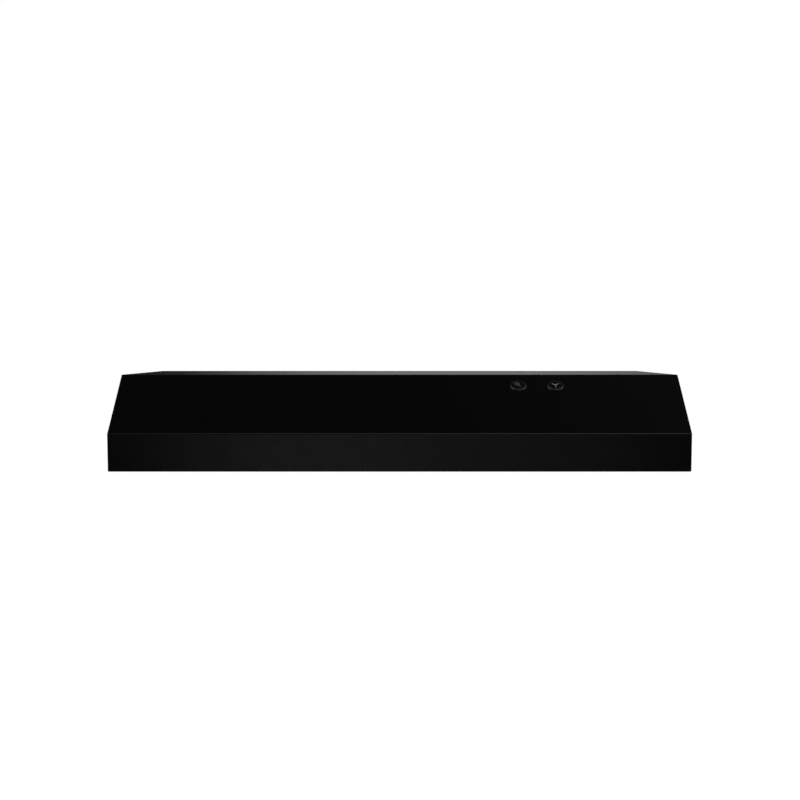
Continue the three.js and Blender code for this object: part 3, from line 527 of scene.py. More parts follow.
def sheet_outline(corners, thickness=SHEET, bends=BEND, steps=10):
    """The outline of a bent sheet: corners run along one face, the thickness lies to their left.

    A short flat run beside each bend keeps the shading of the wide faces flat.
    """
    radii = bends if isinstance(bends, tuple) else (bends,) * (len(corners) - 2)
    near, far = [], []

    def add(point, angle):
        near.append(tuple(point))
        far.append((point[0] - math.sin(angle) * thickness, point[1] + math.cos(angle) * thickness))

    line = [Vector(corner) for corner in corners]
    headings = [math.atan2((b - a).y, (b - a).x) for a, b in zip(line, line[1:])]
    add(line[0], headings[0])
    for corner, radius, before, after in zip(line[1:], radii, headings, headings[1:]):
        turn = math.atan2(math.sin(after - before), math.cos(after - before))
        side = math.copysign(radius, turn)
        along = Vector((math.cos(before), math.sin(before)))
        onward = Vector((math.cos(before + turn), math.sin(before + turn)))
        run = radius * math.tan(abs(turn) / 2)
        start = corner - along * run
        add(start - along * SUPPORT, before)
        centre = start + Vector((-along.y, along.x)) * side
        count = max(3, round(steps * abs(turn) / (math.pi / 2)))
        for k in range(count + 1):
            angle = before + turn * k / count
            add((centre.x + math.sin(angle) * side, centre.y - math.cos(angle) * side), angle)
        add(corner + onward * (run + SUPPORT), before + turn)
    add(line[-1], headings[-1])
    return near + far[::-1]


def joined(*meshes):
    """Separate closed bodies in one mesh."""
    bm = bmesh.new()
    for mesh in meshes:
        bm.from_mesh(mesh)
    mesh = bpy.data.meshes.new("joined")
    bm.to_mesh(mesh)
    bm.free()
    return mesh


def cut(mesh, *tools):
    """The mesh with the tools taken out of it. The tools stay clear of each other."""
    tool = bpy.data.objects.new("tool", joined(*tools))
    bpy.context.scene.collection.objects.link(tool)
    result = with_modifier(mesh, "BOOLEAN", operation="DIFFERENCE", object=tool, solver="EXACT")
    bpy.data.objects.remove(tool)
    return result


def bevelled(mesh, width, segments=2, angle=40):
    """Soft edges where two faces meet at more than the angle, in degrees."""
    settings = {"width": width, "segments": segments, "limit_method": "ANGLE"}
    return with_modifier(mesh, "BEVEL", angle_limit=math.radians(angle), **settings)


def block(x, y, z):
    """A box from (low, high) pairs."""
    return prism([(x[0], y[0]), (x[1], y[0]), (x[1], y[1]), (x[0], y[1])], "Z", *z)


def tube(points, radius, sides=12, closed=False):
    """A round bar along the points, with flat ends."""
    line = [Vector(p) for p in points]
    bm = bmesh.new()
    rings = []
    side = None
    for i, point in enumerate(line):
        before = line[i - 1] if (i > 0 or closed) else point
        after = line[(i + 1) % len(line)] if (i < len(line) - 1 or closed) else point
        along = (after - before).normalized()
        if side is None:
            side = along.orthogonal().normalized()
        side = (side - along * side.dot(along)).normalized()
        up = along.cross(side)
        rings.append([bm.verts.new(point + side * a + up * b) for a, b in circle(radius, steps=sides)])
    bridge(bm, rings, closed)
    return to_mesh(bm)


def merged_copy(node, angle):
    """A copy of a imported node's mesh, with the faces that lie within the angle of one plane merged."""
    mesh = frame["nodes"][node].data.copy()
    bm = bmesh.new()
    bm.from_mesh(mesh)
    bmesh.ops.remove_doubles(bm, verts=bm.verts, dist=1e-6)
    bmesh.ops.dissolve_limit(bm, angle_limit=math.radians(angle), verts=bm.verts, edges=bm.edges)
    bm.to_mesh(mesh)
    bm.free()
    return mesh


# ---------------------------------------------------------------- the wrapper and its panels

DUCT_WIDTH = 0.254
DUCT_HEIGHT = 0.0826
DUCT_Z = -0.053
DUCT_TOP_Y = 0.163
KEYHOLES = ((-0.300, -0.086), (0.300, -0.086), (-0.190, 0.178), (0.190, 0.178))
HOUSING_SCREWS = ((-0.100, -0.099), (0.100, -0.099))
BRACKET_SCREWS = ((-0.082, 0.055), (0.082, 0.055))
SCREW_HOLE = 0.0019
WIRING_HOLE = (0.300, 0.165)
WIRING_RADIUS = 0.0112
BUTTON_X = {"light": 0.1604, "fan": 0.2104}
BUTTON_DOWN_SLOPE = 0.0265
BUTTON_HOLE = 0.0098
WRAPPER = ((BACK, TOP), (FRONT + SLOPE_SETBACK, TOP), (FRONT, TOP - SLOPE_RISE), (FRONT, BOTTOM))


def on_slope(x, down=BUTTON_DOWN_SLOPE):
    """The frame of a control: its origin on the slope, local Z out of the slope, local Y up it."""
    origin = (x, WRAPPER[1][0] - down * math.cos(SLOPE_ANGLE), TOP - down * math.sin(SLOPE_ANGLE))
    return Matrix.Translation(origin) @ Matrix.Rotation(SLOPE_ANGLE, 4, "X")


def through(outline, matrix=Matrix.Identity(4)):
    """A tool that cuts the outline through a sheet whose face is the frame's XY plane."""
    return placed(prism(outline, "Z", -0.006, 0.006), matrix)


def keyhole(x, y):
    """A round entry with a narrow slot that runs forward from it."""
    entry, slot, reach = 0.0055, 0.0026, 0.014
    opening = math.degrees(math.asin(slot / entry))
    round_part = arc_points((x, y), entry, -90 + opening, 270 - opening, 32)
    return round_part + arc_points((x, y - reach), slot, 180, 360, 12)


def make_shell():
    flange_end = FRONT + RETURN_FLANGE
    line = [*WRAPPER, (flange_end, BOTTOM), (flange_end, BOTTOM + HEM)]
    bends = (BEND, BEND, LIP_BEND, BEND)
    shell = prism(sheet_outline(line, bends=bends), "X", -WRAPPER_END, WRAPPER_END)
    outlines = [rounded_rectangle(DUCT_WIDTH, DUCT_HEIGHT, 0.005, 0, DUCT_TOP_Y)]
    outlines += [circle(WIRING_RADIUS, *WIRING_HOLE)]
    outlines += [circle(SCREW_HOLE, *place, 20) for place in (*HOUSING_SCREWS, *BRACKET_SCREWS)]
    outlines += [keyhole(*place) for place in KEYHOLES]
    holes = [through(outline) for outline in outlines]
    holes += [through(circle(BUTTON_HOLE), on_slope(x)) for x in BUTTON_X.values()]
    wrapper = joined(cut(shell, *holes), *knockout_tabs())
    remake("hood_shell", "wrapper", wrapper)


def knockout_tabs():
    """Small bridges that hold the knock-outs in the top until they are broken away."""
    level = (TOP - 0.0008, TOP - 0.0001)
    across, half_width = 0.0006, 0.0015

    def tab(x, y, half_x, half_y):
        return block((x - half_x, x + half_x), (y - half_y, y + half_y), level)

    tabs = []
    for x in (-0.085, 0.0, 0.085):
        for side in (-1, 1):
            tabs.append(tab(x, DUCT_TOP_Y + side * DUCT_HEIGHT / 2, half_width, across))
    for side in (-1, 1):
        tabs.append(tab(side * DUCT_WIDTH / 2, DUCT_TOP_Y, across, half_width))
        tabs.append(tab(WIRING_HOLE[0] + side * WIRING_RADIUS, WIRING_HOLE[1], across, 0.001))
    return tabs


def ring_of(corners, radii, inward):
    """A convex outline with round corners, moved inwards. Every ring has the same number of points."""
    points = []
    for i, radius in enumerate(radii):
        corner = Vector(corners[i])
        before = (corner - Vector(corners[i - 1])).normalized()
        after = (Vector(corners[(i + 1) % len(corners)]) - corner).normalized()
        turn = before.angle_signed(after)
        tangent = radius * math.tan(abs(turn) / 2)
        normal = Vector((before.y, -before.x)) * (-1 if turn < 0 else 1)
        centre = corner - before * tangent + normal * radius
        start = math.degrees(math.atan2(-normal.y, -normal.x))
        points += arc_points(centre, max(radius - inward, 0.0), start, start - math.degrees(turn), 8)
    return points


def make_side_panel(name, side):
    """A plate with a rolled edge that the wrapper closes on, a hemmed return and a tab under the wrapper."""
    corners = [*WRAPPER, (BACK, BOTTOM)]
    radii = (EDGE_RADIUS, BEND, BEND, LIP_BEND, EDGE_RADIUS)
    section = [(HALF_WIDTH, EDGE_RADIUS + SUPPORT)]
    section += arc_points((HALF_WIDTH - EDGE_RADIUS, EDGE_RADIUS), EDGE_RADIUS, 0, -90, 5)
    section += [(WRAPPER_END + GAP, 0), (WRAPPER_END + GAP, SHEET), (HALF_WIDTH - SHEET, SHEET)]

    def outline(x, inward):
        return [(side * x, y, z) for y, z in ring_of(corners, radii, inward)]

    middle, flange_end = side * (HALF_WIDTH - SHEET / 2), side * (HALF_WIDTH - RETURN_FLANGE)
    line = [(middle, BOTTOM), (flange_end, BOTTOM), (flange_end, BOTTOM + HEM)]
    rim_end = RETURN_FLANGE + SHEET
    rim = prism(sheet_outline(line, -side * SHEET), "Y", FRONT + rim_end, BACK - rim_end)
    tab_line = [(BACK - 0.016, UNDER_TOP), *inset_wrapper(), (FRONT + SHEET + GAP, BOTTOM + BEND)]
    tab_ends = sorted((side * (HALF_WIDTH - SHEET - 0.012), middle))
    tab = prism(sheet_outline(tab_line), "X", *tab_ends)
    mesh = joined(loft(section, outline, closed=False), rim, tab)
    remake(name, name, mesh)


def inset_wrapper():
    """The two slope corners of a sheet that lies just inside the wrapper."""
    inner = SHEET + GAP
    half = inner * math.tan(SLOPE_ANGLE / 2)
    other = inner * math.tan((math.pi / 2 - SLOPE_ANGLE) / 2)
    return [(WRAPPER[1][0] + half, TOP - inner), (FRONT + inner, TOP - SLOPE_RISE - other)]


def make_back_panel():
    flange_end = BACK - RETURN_FLANGE
    line = [(BACK - 0.014, UNDER_TOP), (BACK, UNDER_TOP), (BACK, BOTTOM), (flange_end, BOTTOM)]
    line += [(flange_end, BOTTOM + HEM)]
    panel = prism(sheet_outline(line, -SHEET), "X", -SHELL_HALF, SHELL_HALF)
    duct = prism(rounded_rectangle(0.246, 0.075, 0.004, 0, DUCT_Z), "Y", BACK - 0.006, BACK + 0.006)
    notch = block((-0.163, 0.163), (BACK - 0.02, BACK - SHEET), (TOP - 0.0063, TOP + 0.001))
    remake("back_panel", "rear_panel", cut(panel, duct, notch))


# ---------------------------------------------------------------- the controls

CAP_RADIUS = 0.008
CAP_CROWN = 0.0023
CAP_SOFT = 0.0014
MARK_Z = CAP_CROWN + 0.00001
MARK_DEPTH = 0.0003


def make_bezel(name, x):
    """A threaded barrel below a ring with a fully rounded outer edge."""
    inner, barrel, ring, foot = CAP_RADIUS + 0.00045, 0.0094, 0.011, -0.015
    top, roll, inner_roll, soft = 0.0019, 0.0014, 0.00012, 0.0001
    profile = [(inner, foot), (barrel, foot)]
    profile += thread(barrel, barrel - 0.0002, foot + 0.0002, -0.0013, 0.001)
    profile += [(barrel, GAP), (ring - soft, GAP), (ring, GAP + soft)]
    profile += arc_points((ring - roll, top - roll), roll, 0, 90, 10)
    profile += arc_points((inner + inner_roll, top - inner_roll), inner_roll, 90, 180, 10)
    mesh = lathe(profile, 96, on_slope(x))
    satin = MATERIALS["satin_plastic"]
    remake(f"{name}_button_bezel", f"{name}_bezel", mesh, material=satin)


def cap_height(radius):
    """The face of a cap is slightly domed."""
    return CAP_CROWN - 0.0003 * (radius / CAP_RADIUS) ** 2


def make_cap(name, x):
    """A domed cap with a rounded edge and a skirt, on a stem that presses the switch."""
    stem, stem_end, bevel = 0.0022, -0.0126, 0.0004
    inside, skirt, under = CAP_RADIUS - 0.0012, -0.008, -0.0006
    face = CAP_RADIUS - CAP_SOFT
    profile = [(0, CAP_CROWN)]
    profile += [(face * k / 8, cap_height(face * k / 8)) for k in range(1, 9)]
    profile += arc_points((face, cap_height(face) - CAP_SOFT), CAP_SOFT, 90, 0, 8)[1:]
    profile += [(CAP_RADIUS, skirt), (inside, skirt), (inside, under), (stem, under)]
    profile += [(stem, stem_end + bevel), (stem - bevel, stem_end), (0, stem_end)]
    mesh = lathe(profile, 96, on_slope(x))
    remake(f"{name}_button_cap", f"{name}_cap", mesh)


def place_mark(name, outlines, level, matrix=Matrix.Identity(4)):
    """Flat outlines let into the face of a cap, in a lighter plastic."""
    plates = [prism(outline, "Z", MARK_Z - MARK_DEPTH, MARK_Z) for outline in outlines]
    mesh = placed(joined(*plates), on_slope(BUTTON_X[name]) @ matrix)
    ink = pictogram_ink(f"{name}_mark", level)
    new_piece(f"{name}_mark", mesh, "grey_plastic", f"{name}_button", material=ink)


def make_light_mark():
    """A generic lamp, tilted: a bulb with a small cap below it."""
    bulb = arc_points((0, 0.0019), 0.0038, -58, 238, 28) + [(-0.0014, -0.0040), (0.0014, -0.0040)]
    cap = [(-0.0014, -0.0044), (0.0014, -0.0044), (0.0010, -0.0054), (-0.0010, -0.0054)]
    tilt = Matrix.Translation((-0.0006, 0.0009, 0)) @ Matrix.Rotation(math.radians(36), 4, "Z")
    place_mark("light", [bulb, cap], 0.14, tilt)


def make_fan_mark():
    """A generic fan: three slim drop-shaped blades about a hub, one of them pointing down."""
    hub, tip, half_width = 0.0006, 0.0057, 0.00055
    shares = [k / 24 for k in range(25)]
    reaches = [hub + (tip - hub) * share for share in shares]
    halves = [half_width * math.sin(math.pi * (0.04 + 0.93 * share)) ** 0.8 for share in shares]
    outline = [*zip(reaches, halves), *((reach, -half) for reach, half in zip(reaches[::-1], halves[::-1]))]
    outlines = [circle(0.0011, steps=24)]
    for turn in range(3):
        rotation = Matrix.Rotation(math.radians(-90 + 120 * turn), 2)
        outlines.append([tuple(rotation @ Vector(point)) for point in outline])
    place_mark("fan", outlines, 0.92)


def make_button_nut(name, x):
    corner = 0.013 / math.cos(math.pi / 6)
    nut = prism(arc_points((0, 0), corner, 0, 300, 5), "Z", -0.0043, -0.0013)
    nut = bevelled(cut(nut, prism(circle(0.0097), "Z", -0.006, 0.001)), 0.0004)
    remake(f"{name}_button_nut", f"{name}_nut", placed(nut, on_slope(x)))


def make_button_spring(name, x):
    """A compression spring under the cap."""
    turns, radius, wire = 6, 0.0037, 0.00035
    low, high, pressed = -0.0148, -0.0014, -0.0042
    closed_share = 0.08
    steps = turns * 36
    points = []
    for k in range(steps + 1):
        share = k / steps
        angle = 2 * math.pi * turns * share
        climb = min(1, max(0, (share - closed_share) / (1 - 2 * closed_share)))
        rise = low + wire + (high - low - 2 * wire) * climb
        points.append((radius * math.cos(angle), radius * math.sin(angle), rise))
    place = on_slope(x)
    mesh = placed(tube(points, wire, 10), place)
    spring = remake(f"{name}_button_spring", f"{name}_spring", mesh)
    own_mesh(spring)


def make_controls():
    for name, x in BUTTON_X.items():
        make_bezel(name, x)
        make_cap(name, x)
        make_button_nut(name, x)
        make_button_spring(name, x)
    make_light_mark()
    make_fan_mark()


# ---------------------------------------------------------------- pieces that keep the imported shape

SOFT_EDGES = {
    "motor_stator": 0.0004,
    "motor_top_cover": 0.0006,
    "motor_bottom_cover": 0.0006,
    "motor_bracket": 0.0003,
    "wiring_cover": 0.0003,
    "top_duct_knockout": 0.0003,
    "wiring_knockout": 0.0003,
    "filter_clip_left": 0.0003,
    "filter_clip_right": 0.0003,
    "filter_catch": 0.0003,
    "lens_clip_1": 0.0005,
    "lens_clip_2": 0.0005,
    "light_switch": 0.0005,
    "fan_switch": 0.0005,
    "motor_nut_1": 0.0002,
    "motor_nut_2": 0.0002,
    "motor_bolt_1": 0.0002,
    "motor_bolt_2": 0.0002,
    "motor_grommet_1": 0.0004,
    "motor_grommet_2": 0.0004,
    "latch_guide": 0.0002,
    "filter_latch": 0.0004,
    "fan_nut": 0.0004,
    "motor_rotor": 0.0005,
}


def make_softened_pieces():
    """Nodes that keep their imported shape, with merged facets and a small radius on their sharp edges."""
    for node, width in SOFT_EDGES.items():
        segments = 3 if node == "filter_latch" else 2
        remake(node, f"{node}_piece", bevelled(merged_copy(node, 0.5), width, segments, 34))


def make_leads():
    for node in ("motor_lead", "lamp_lead", "supply_lead"):
        mesh = with_modifier(merged_copy(node, 1), "SUBSURF", levels=1, render_levels=1)
        remake(node, f"{node}_sleeve", mesh)


# ---------------------------------------------------------------- the fan housing

FAN_Y = 0.055
HOUSING_HALF = 0.150
HOUSING_FRONT = -0.092
HOUSING_FLOOR = -0.096
HOUSING_REAR = BACK - SHEET - GAP
ORIFICE_RADIUS = 0.0955
LEAD_HOLE = (0.118, -0.022)
SCREW_HEAD = 0.003


def turned_round_fan(profile, steps=96):
    return lathe(profile, steps, Matrix.Translation((0, FAN_Y, 0)))


def three_walls(half, front):
    """The line of a box's left, front and right sides, open at the rear."""
    return [(-half, HOUSING_REAR), (-half, front), (half, front), (half, HOUSING_REAR)]


def make_fan_housing():
    """A folded box round the fan with a drawn bell mouth in its floor."""
    half, flange = HOUSING_HALF, 0.012
    walls = sheet_outline(three_walls(half, HOUSING_FRONT), steps=16)
    walls = prism(walls, "Z", HOUSING_FLOOR, UNDER_TOP)
    lead_hole = prism(circle(0.005, *LEAD_HOLE), "Y", HOUSING_FRONT - 0.005, HOUSING_FRONT + 0.005)
    rim = three_walls(half + flange, HOUSING_FRONT - flange)
    rim = prism(sheet_outline(rim, flange + SHEET / 2, flange + BEND, 16), "Z", UNDER_TOP - SHEET, UNDER_TOP)
    screw_holes = [prism(circle(SCREW_HOLE, *place, 20), "Z", -0.006, 0.001) for place in HOUSING_SCREWS]
    level = HOUSING_FLOOR + 0.0001
    inner = half - 0.0005
    floor = block((-inner, inner), (HOUSING_FRONT + 0.0005, HOUSING_REAR - 0.0001), (level, level + SHEET))
    opening = prism(circle(ORIFICE_RADIUS + 0.010, 0, FAN_Y, 128), "Z", -0.11, -0.08)
    bell_line = [(ORIFICE_RADIUS + 0.015, HOUSING_FLOOR), (ORIFICE_RADIUS, HOUSING_FLOOR)]
    bell_line += [(ORIFICE_RADIUS, HOUSING_FLOOR + 0.020)]
    bell = turned_round_fan(sheet_outline(bell_line, -SHEET, 0.009, 16), 144)
    folded = [cut(walls, lead_hole), cut(rim, *screw_holes), cut(floor, opening)]
    mesh = joined(*folded, bell, *housing_welds(level))
    remake("fan_housing", "fan_box", mesh)


def housing_welds(level):
    """Spot weld dimples along the floor's two long edges."""
    profile = [(0, -0.0002), (0.0015, -0.0002), (0.0022, 0.0002), (0, 0.0002)]
    inset = HOUSING_HALF - 0.006
    rows = [HOUSING_FRONT + 0.02 + step * 0.043 for step in range(7)]
    return studs(profile, [(x, y, level) for x in (-inset, inset) for y in rows])


def make_screw(node):
    """A slotted pan head sheet metal screw with a threaded shank."""
    low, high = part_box(node)
    length = high.z - low.z - SCREW_HEAD
    crest, root, tip = 0.0016, 0.0013, 0.0006
    profile = [(0, -SCREW_HEAD), (0.0012, -0.00298), (0.0024, -0.0028), (0.0031, -0.0022), (0.0034, -0.0014)]
    profile += [(0.0035, -0.0004), (0.0034, 0), (0.0015, 0)]
    profile += thread(crest, root, 0.0003, length - 0.0006, 0.0008)
    profile += [(root, length - 0.0005), (tip, length), (0, length)]
    slot = block((-0.0028, 0.0028), (-0.0004, 0.0004), (-0.004, -0.0018))
    place = Matrix.Translation(((low.x + high.x) / 2, (low.y + high.y) / 2, low.z + SCREW_HEAD))
    mesh = placed(cut(lathe(profile, 40), slot), place)
    remake(node, f"{node}_piece", mesh)


def make_screws():
    pairs = [f"{place}_screw_{number}" for place in ("housing", "bracket") for number in (1, 2)]
    for node in (*pairs, "wiring_cover_screw"):
        make_screw(node)


# ---------------------------------------------------------------- the motor and the fan


def make_shaft():
    low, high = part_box("motor_shaft")
    radius, pitch = (high.x - low.x) / 2, 0.0008
    ridges = thread(radius, radius - 0.0003, low.z + pitch, -0.080, pitch)
    plain = ridges[-1][1] + pitch / 2
    bar = bar_profile(radius, low.z, high.z)
    profile = [*bar[:3], *ridges, (radius, plain), *bar[3:]]
    remake("motor_shaft", "shaft", turned_round_fan(profile))


def make_bearings():
    for name, node in (("upper_bearing", "motor_top_bearing"), ("lower_bearing", "motor_bottom_bearing")):
        low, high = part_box(node)
        outer, inner, soft = (high.x - low.x) / 2, 0.0034, 0.0004
        profile = [(inner, low.z + soft), (inner + soft, low.z), (outer - soft, low.z), (outer, low.z + soft)]
        profile += [(outer, high.z - soft), (outer - soft, high.z), (inner + soft, high.z)]
        profile += [(inner, high.z - soft)]
        remake(node, name, turned_round_fan(profile))


def make_coil():
    """Enamelled wire wound round the far leg of the core, between two moulded cheeks."""
    low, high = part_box("motor_coil")
    middle = ((low.y + high.y) / 2, (low.z + high.z) / 2)
    width, depth = high.y - low.y, high.z - low.z
    wire, cheek = 0.00036, 0.0012
    core_width, core_depth, core_middle = 0.0168, 0.0248, (0.109, -0.036)
    count = int((high.x - low.x - 2 * cheek) / (2.05 * wire))
    pitch = (high.x - low.x - 2 * cheek) / count
    loop = rounded_rectangle(width - 0.0030, depth - 0.0030, 0.005, *middle, 5)
    turns = []
    for k in range(count):
        x = low.x + cheek + (k + 0.5) * pitch
        turns.append(tube([(x, y, z) for y, z in loop], wire, 6, True))
    window = rounded_rectangle(core_width, core_depth, 0.001, *core_middle)
    window = prism(window, "X", low.x - 0.01, high.x + 0.01)
    body = rounded_rectangle(width - 0.0032, depth - 0.0032, 0.005, *middle, 5)
    body = prism(body, "X", low.x + cheek / 2, high.x - cheek / 2)
    winding = joined(cut(body, window), *turns)
    remake("motor_coil", "coil_winding", winding)
    plate = rounded_rectangle(width, depth, 0.002, *middle)
    ends = ((low.x, low.x + cheek), (high.x - cheek, high.x))
    cheeks = [cut(prism(plate, "X", *end), window) for end in ends]
    new_piece("coil_cheeks", bevelled(joined(*cheeks), 0.0003), "white_plastic", "root")


FAN_TOP = -0.062
FAN_BOTTOM = -0.084
HUB_RADIUS = 0.021
HUB_COLLAR = 0.009
BLADE_TIP = 0.091
BLADES = 5


def make_blade(turn):
    """One moulded blade: swept, climbing and cambered, thin at its edges and round at its tip."""
    rise, sweep, root = 0.017, math.radians(50), HUB_RADIUS - 0.001
    spans, chords = 18, 20
    bm = bmesh.new()
    points = {}
    for side in (1, -1):
        for i in range(spans + 1):
            for j in range(chords + 1):
                along = -0.5 + j / chords
                trim = 0.006 * (2 * abs(along)) ** 4
                radius = root + (BLADE_TIP - trim - root) * i / spans
                reach = (radius - root) / (BLADE_TIP - root)
                angle = turn + sweep * (along * (0.8 + 0.25 * reach) + 0.12 * reach)
                camber = 0.003 * (1 - 4 * along * along) - 0.001
                thick = 0.00095 * (1 - 0.55 * (2 * along) ** 4) * (1 - 0.25 * reach)
                if i == spans:
                    thick *= 0.4
                z = (FAN_TOP + FAN_BOTTOM) / 2 + rise * along * (1 - 0.25 * reach) + camber + side * thick
                place = (radius * math.cos(angle), FAN_Y + radius * math.sin(angle), z)
                points[side, i, j] = bm.verts.new(place)
    for side in (1, -1):
        for i in range(spans):
            for j in range(chords):
                bm.faces.new([points[side, i + a, j + b] for a, b in ((0, 0), (1, 0), (1, 1), (0, 1))])
    border = [(i, 0) for i in range(spans)] + [(spans, j) for j in range(chords)]
    border += [(i, chords) for i in range(spans, 0, -1)] + [(0, j) for j in range(chords, 0, -1)]
    for a, b in zip(border, border[1:] + border[:1]):
        bm.faces.new([points[1, *a], points[1, *b], points[-1, *b], points[-1, *a]])
    return to_mesh(bm)


def make_fan():
    bore, soft, fillet, web = 0.0034, 0.0012, 0.003, 0.003
    face = FAN_BOTTOM + 0.001
    profile = [(bore, face), (HUB_COLLAR - 0.0004, face), (HUB_COLLAR, face + 0.0004)]
    profile += [(HUB_COLLAR, FAN_BOTTOM + web), (HUB_RADIUS - 0.004, FAN_BOTTOM + web)]
    profile += arc_points((HUB_RADIUS - fillet, FAN_BOTTOM + web + fillet), fillet, -90, 0, 8)
    profile += [(HUB_RADIUS, FAN_TOP - soft), (HUB_RADIUS - soft, FAN_TOP), (bore, FAN_TOP)]
    blades = [make_blade(2 * math.pi * k / BLADES) for k in range(BLADES)]
    mesh = joined(turned_round_fan(profile), *blades, *hub_ribs())
    remake("fan_blade", "fan_wheel", mesh)


def hub_ribs():
    """Short moulded ribs on the hub's underside."""
    height = (FAN_BOTTOM + 0.0014, FAN_BOTTOM + 0.0032)
    ribs = []
    for k in range(2 * BLADES):
        rib = block((HUB_COLLAR - 0.0002, HUB_RADIUS - 0.004), (-0.0006, 0.0006), height)
        turn = Matrix.Rotation(math.pi * k / BLADES, 4, "Z")
        ribs.append(placed(rib, Matrix.Translation((0, FAN_Y, 0)) @ turn))
    return ribs


# ---------------------------------------------------------------- the grease filter

FILTER_LOW, FILTER_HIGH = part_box("filter_mesh")
FILTER_WIDTH = 0.267
FILTER_LENGTH = 0.222
FILTER_TOP = -0.0985
FILTER_BOTTOM = -0.1075
FILTER_RIM = 0.011
FILTER_REAR = FAN_Y + FILTER_LENGTH / 2
TONGUE_X = 0.085
TONGUE_Z = -0.103


def filter_section():
    """The folded channel of the frame: (how far in from the outside, height), all round."""
    soft, nick, wall = 0.0014, 0.0004, 0.0008
    bottom, top, rim = FILTER_BOTTOM, FILTER_TOP, FILTER_RIM
    section = [(rim, bottom + nick / 2), (rim - nick, bottom)]
    section += arc_points((soft, bottom + soft), soft, -90, -180, 5)
    section += arc_points((soft, top - soft), soft, 180, 90, 5)
    section += [(rim - nick, top), (rim, top - nick / 2), (rim, top - wall)]
    return section + [(wall, top - wall), (wall, bottom + wall), (rim, bottom + wall)]


def make_filter_frame():
    """A mitred channel with two tongues at the rear and a crimp in each corner."""

    def outline(inward, level):
        radius = max(0.006 - inward, 0.0015)
        size = (FILTER_WIDTH - 2 * inward, FILTER_LENGTH - 2 * inward)
        return [(x, y, level) for x, y in rounded_rectangle(*size, radius, 0, FAN_Y, 6)]

    pieces = [loft(filter_section(), outline)]
    for x in (-TONGUE_X, TONGUE_X):
        tongue = rounded_rectangle(0.020, 0.009, 0.002, x, FILTER_REAR + 0.0035)
        pieces.append(prism(tongue, "Z", TONGUE_Z - 0.0006, TONGUE_Z + 0.0006))
    crimp = [(0, 0), (0.0012, 0), (0.0019, 0.0003), (0.0019, 0.0006), (0, 0.0006)]
    x, y = FILTER_WIDTH / 2 - 0.0065, FILTER_LENGTH / 2 - 0.0065
    places = [(a, FAN_Y + b, FILTER_BOTTOM) for a in (-x, x) for b in (-y, y)]
    remake("filter_frame", "filter_channel", joined(*pieces, *studs(crimp, places)))


def expanded_layer(level, cell_x, cell_y, strand, thick, phase):
    """A sheet of slit and stretched aluminium: rows of strands that touch at the knuckles of each diamond."""
    margin = 0.0016
    half_x = FILTER_WIDTH / 2 - margin
    low_y, high_y = FAN_Y - FILTER_LENGTH / 2 + margin, FAN_Y + FILTER_LENGTH / 2 - margin
    rows = int((high_y - low_y) / cell_y)
    columns = int(2 * half_x / (cell_x / 4))
    corners = ((-1, -1), (1, -1), (1, 1), (-1, 1))
    bm = bmesh.new()
    for row in range(rows):
        middle = low_y + (row + 0.5) * (high_y - low_y) / rows
        sign = 1 if row % 2 else -1
        rings = []
        for k in range(columns + 1):
            x = -half_x + k * 2 * half_x / columns
            swing = (0, 1, 0, -1)[(k + phase) % 4] * sign
            y = middle + swing * (cell_y / 2 - strand / 2)
            y = min(max(y, low_y + strand), high_y - strand)
            z = level + swing * thick * 0.9
            rings.append([bm.verts.new((x, y + dy * strand / 2, z + dz * thick / 2)) for dy, dz in corners])
        bridge(bm, rings)
    return to_mesh(bm)


def make_filter_mesh():
    """Two outer sheets of expanded aluminium with packed foil between them."""
    low, high = FILTER_LOW.z, FILTER_HIGH.z
    coarse, medium, fine = (0.0080, 0.0030, 0.0008, 0.00045), (0.0070, 0.0028), (0.0062, 0.0026)
    foil = (0.0007, 0.0004)
    outer = [expanded_layer(level, *coarse, 0) for level in (low + 0.0006, high - 0.0006)]
    remake("filter_mesh", "filter_screen", joined(*outer))
    layers = ((low + 0.0018, *fine), ((low + high) / 2, *medium), (high - 0.0018, *fine))
    inner = [expanded_layer(*layer, *foil, phase) for phase, layer in enumerate(layers, 1)]
    new_piece("filter_packing", joined(*inner), "filter_mesh", "filter")


# ---------------------------------------------------------------- the lamp

LAMP_LEFT = 0.190
LAMP_RIGHT = 0.350
LAMP_Y = -0.020
LAMP_FLOOR = -0.097
BULB_Z = -0.050
SOCKET_BACK = 0.172
SOCKET_FLOOR = 0.012
LENS_LEFT = LAMP_LEFT - 0.002
LENS_RIGHT = LAMP_RIGHT + 0.002
LENS_REAR = LAMP_Y + 0.082
LENS_TOP = LAMP_FLOOR - 0.0004
LENS_WALL = 0.0016
LENS_DEPTH = 0.0066


def make_reflector():
    """A folded trough with a lip along both sides, and an end plate at each end."""
    low, mouth, crown = LAMP_FLOOR + SHEET, 0.070, 0.046
    line = [(-0.080, low), (-mouth, low), (-crown, UNDER_TOP), (crown, UNDER_TOP), (mouth, low), (0.100, low)]
    line = [(LAMP_Y + y, z) for y, z in line]
    trough = prism(sheet_outline(line, -SHEET, steps=14), "X", LAMP_LEFT, LAMP_RIGHT)
    top = UNDER_TOP - 0.0005
    end = [(-mouth, LAMP_FLOOR), (mouth, LAMP_FLOOR), (crown, top), (-crown, top)]
    end = [(LAMP_Y + y, z) for y, z in end]
    hole = prism(circle(0.0195, LAMP_Y, BULB_Z, 64), "X", LAMP_LEFT - 0.002, LAMP_LEFT + 0.002)
    left = cut(prism(end, "X", LAMP_LEFT, LAMP_LEFT + SHEET), hole)
    right = prism(end, "X", LAMP_RIGHT - SHEET, LAMP_RIGHT)
    remake("lamp_reflector", "reflector_trough", joined(trough, left, right))


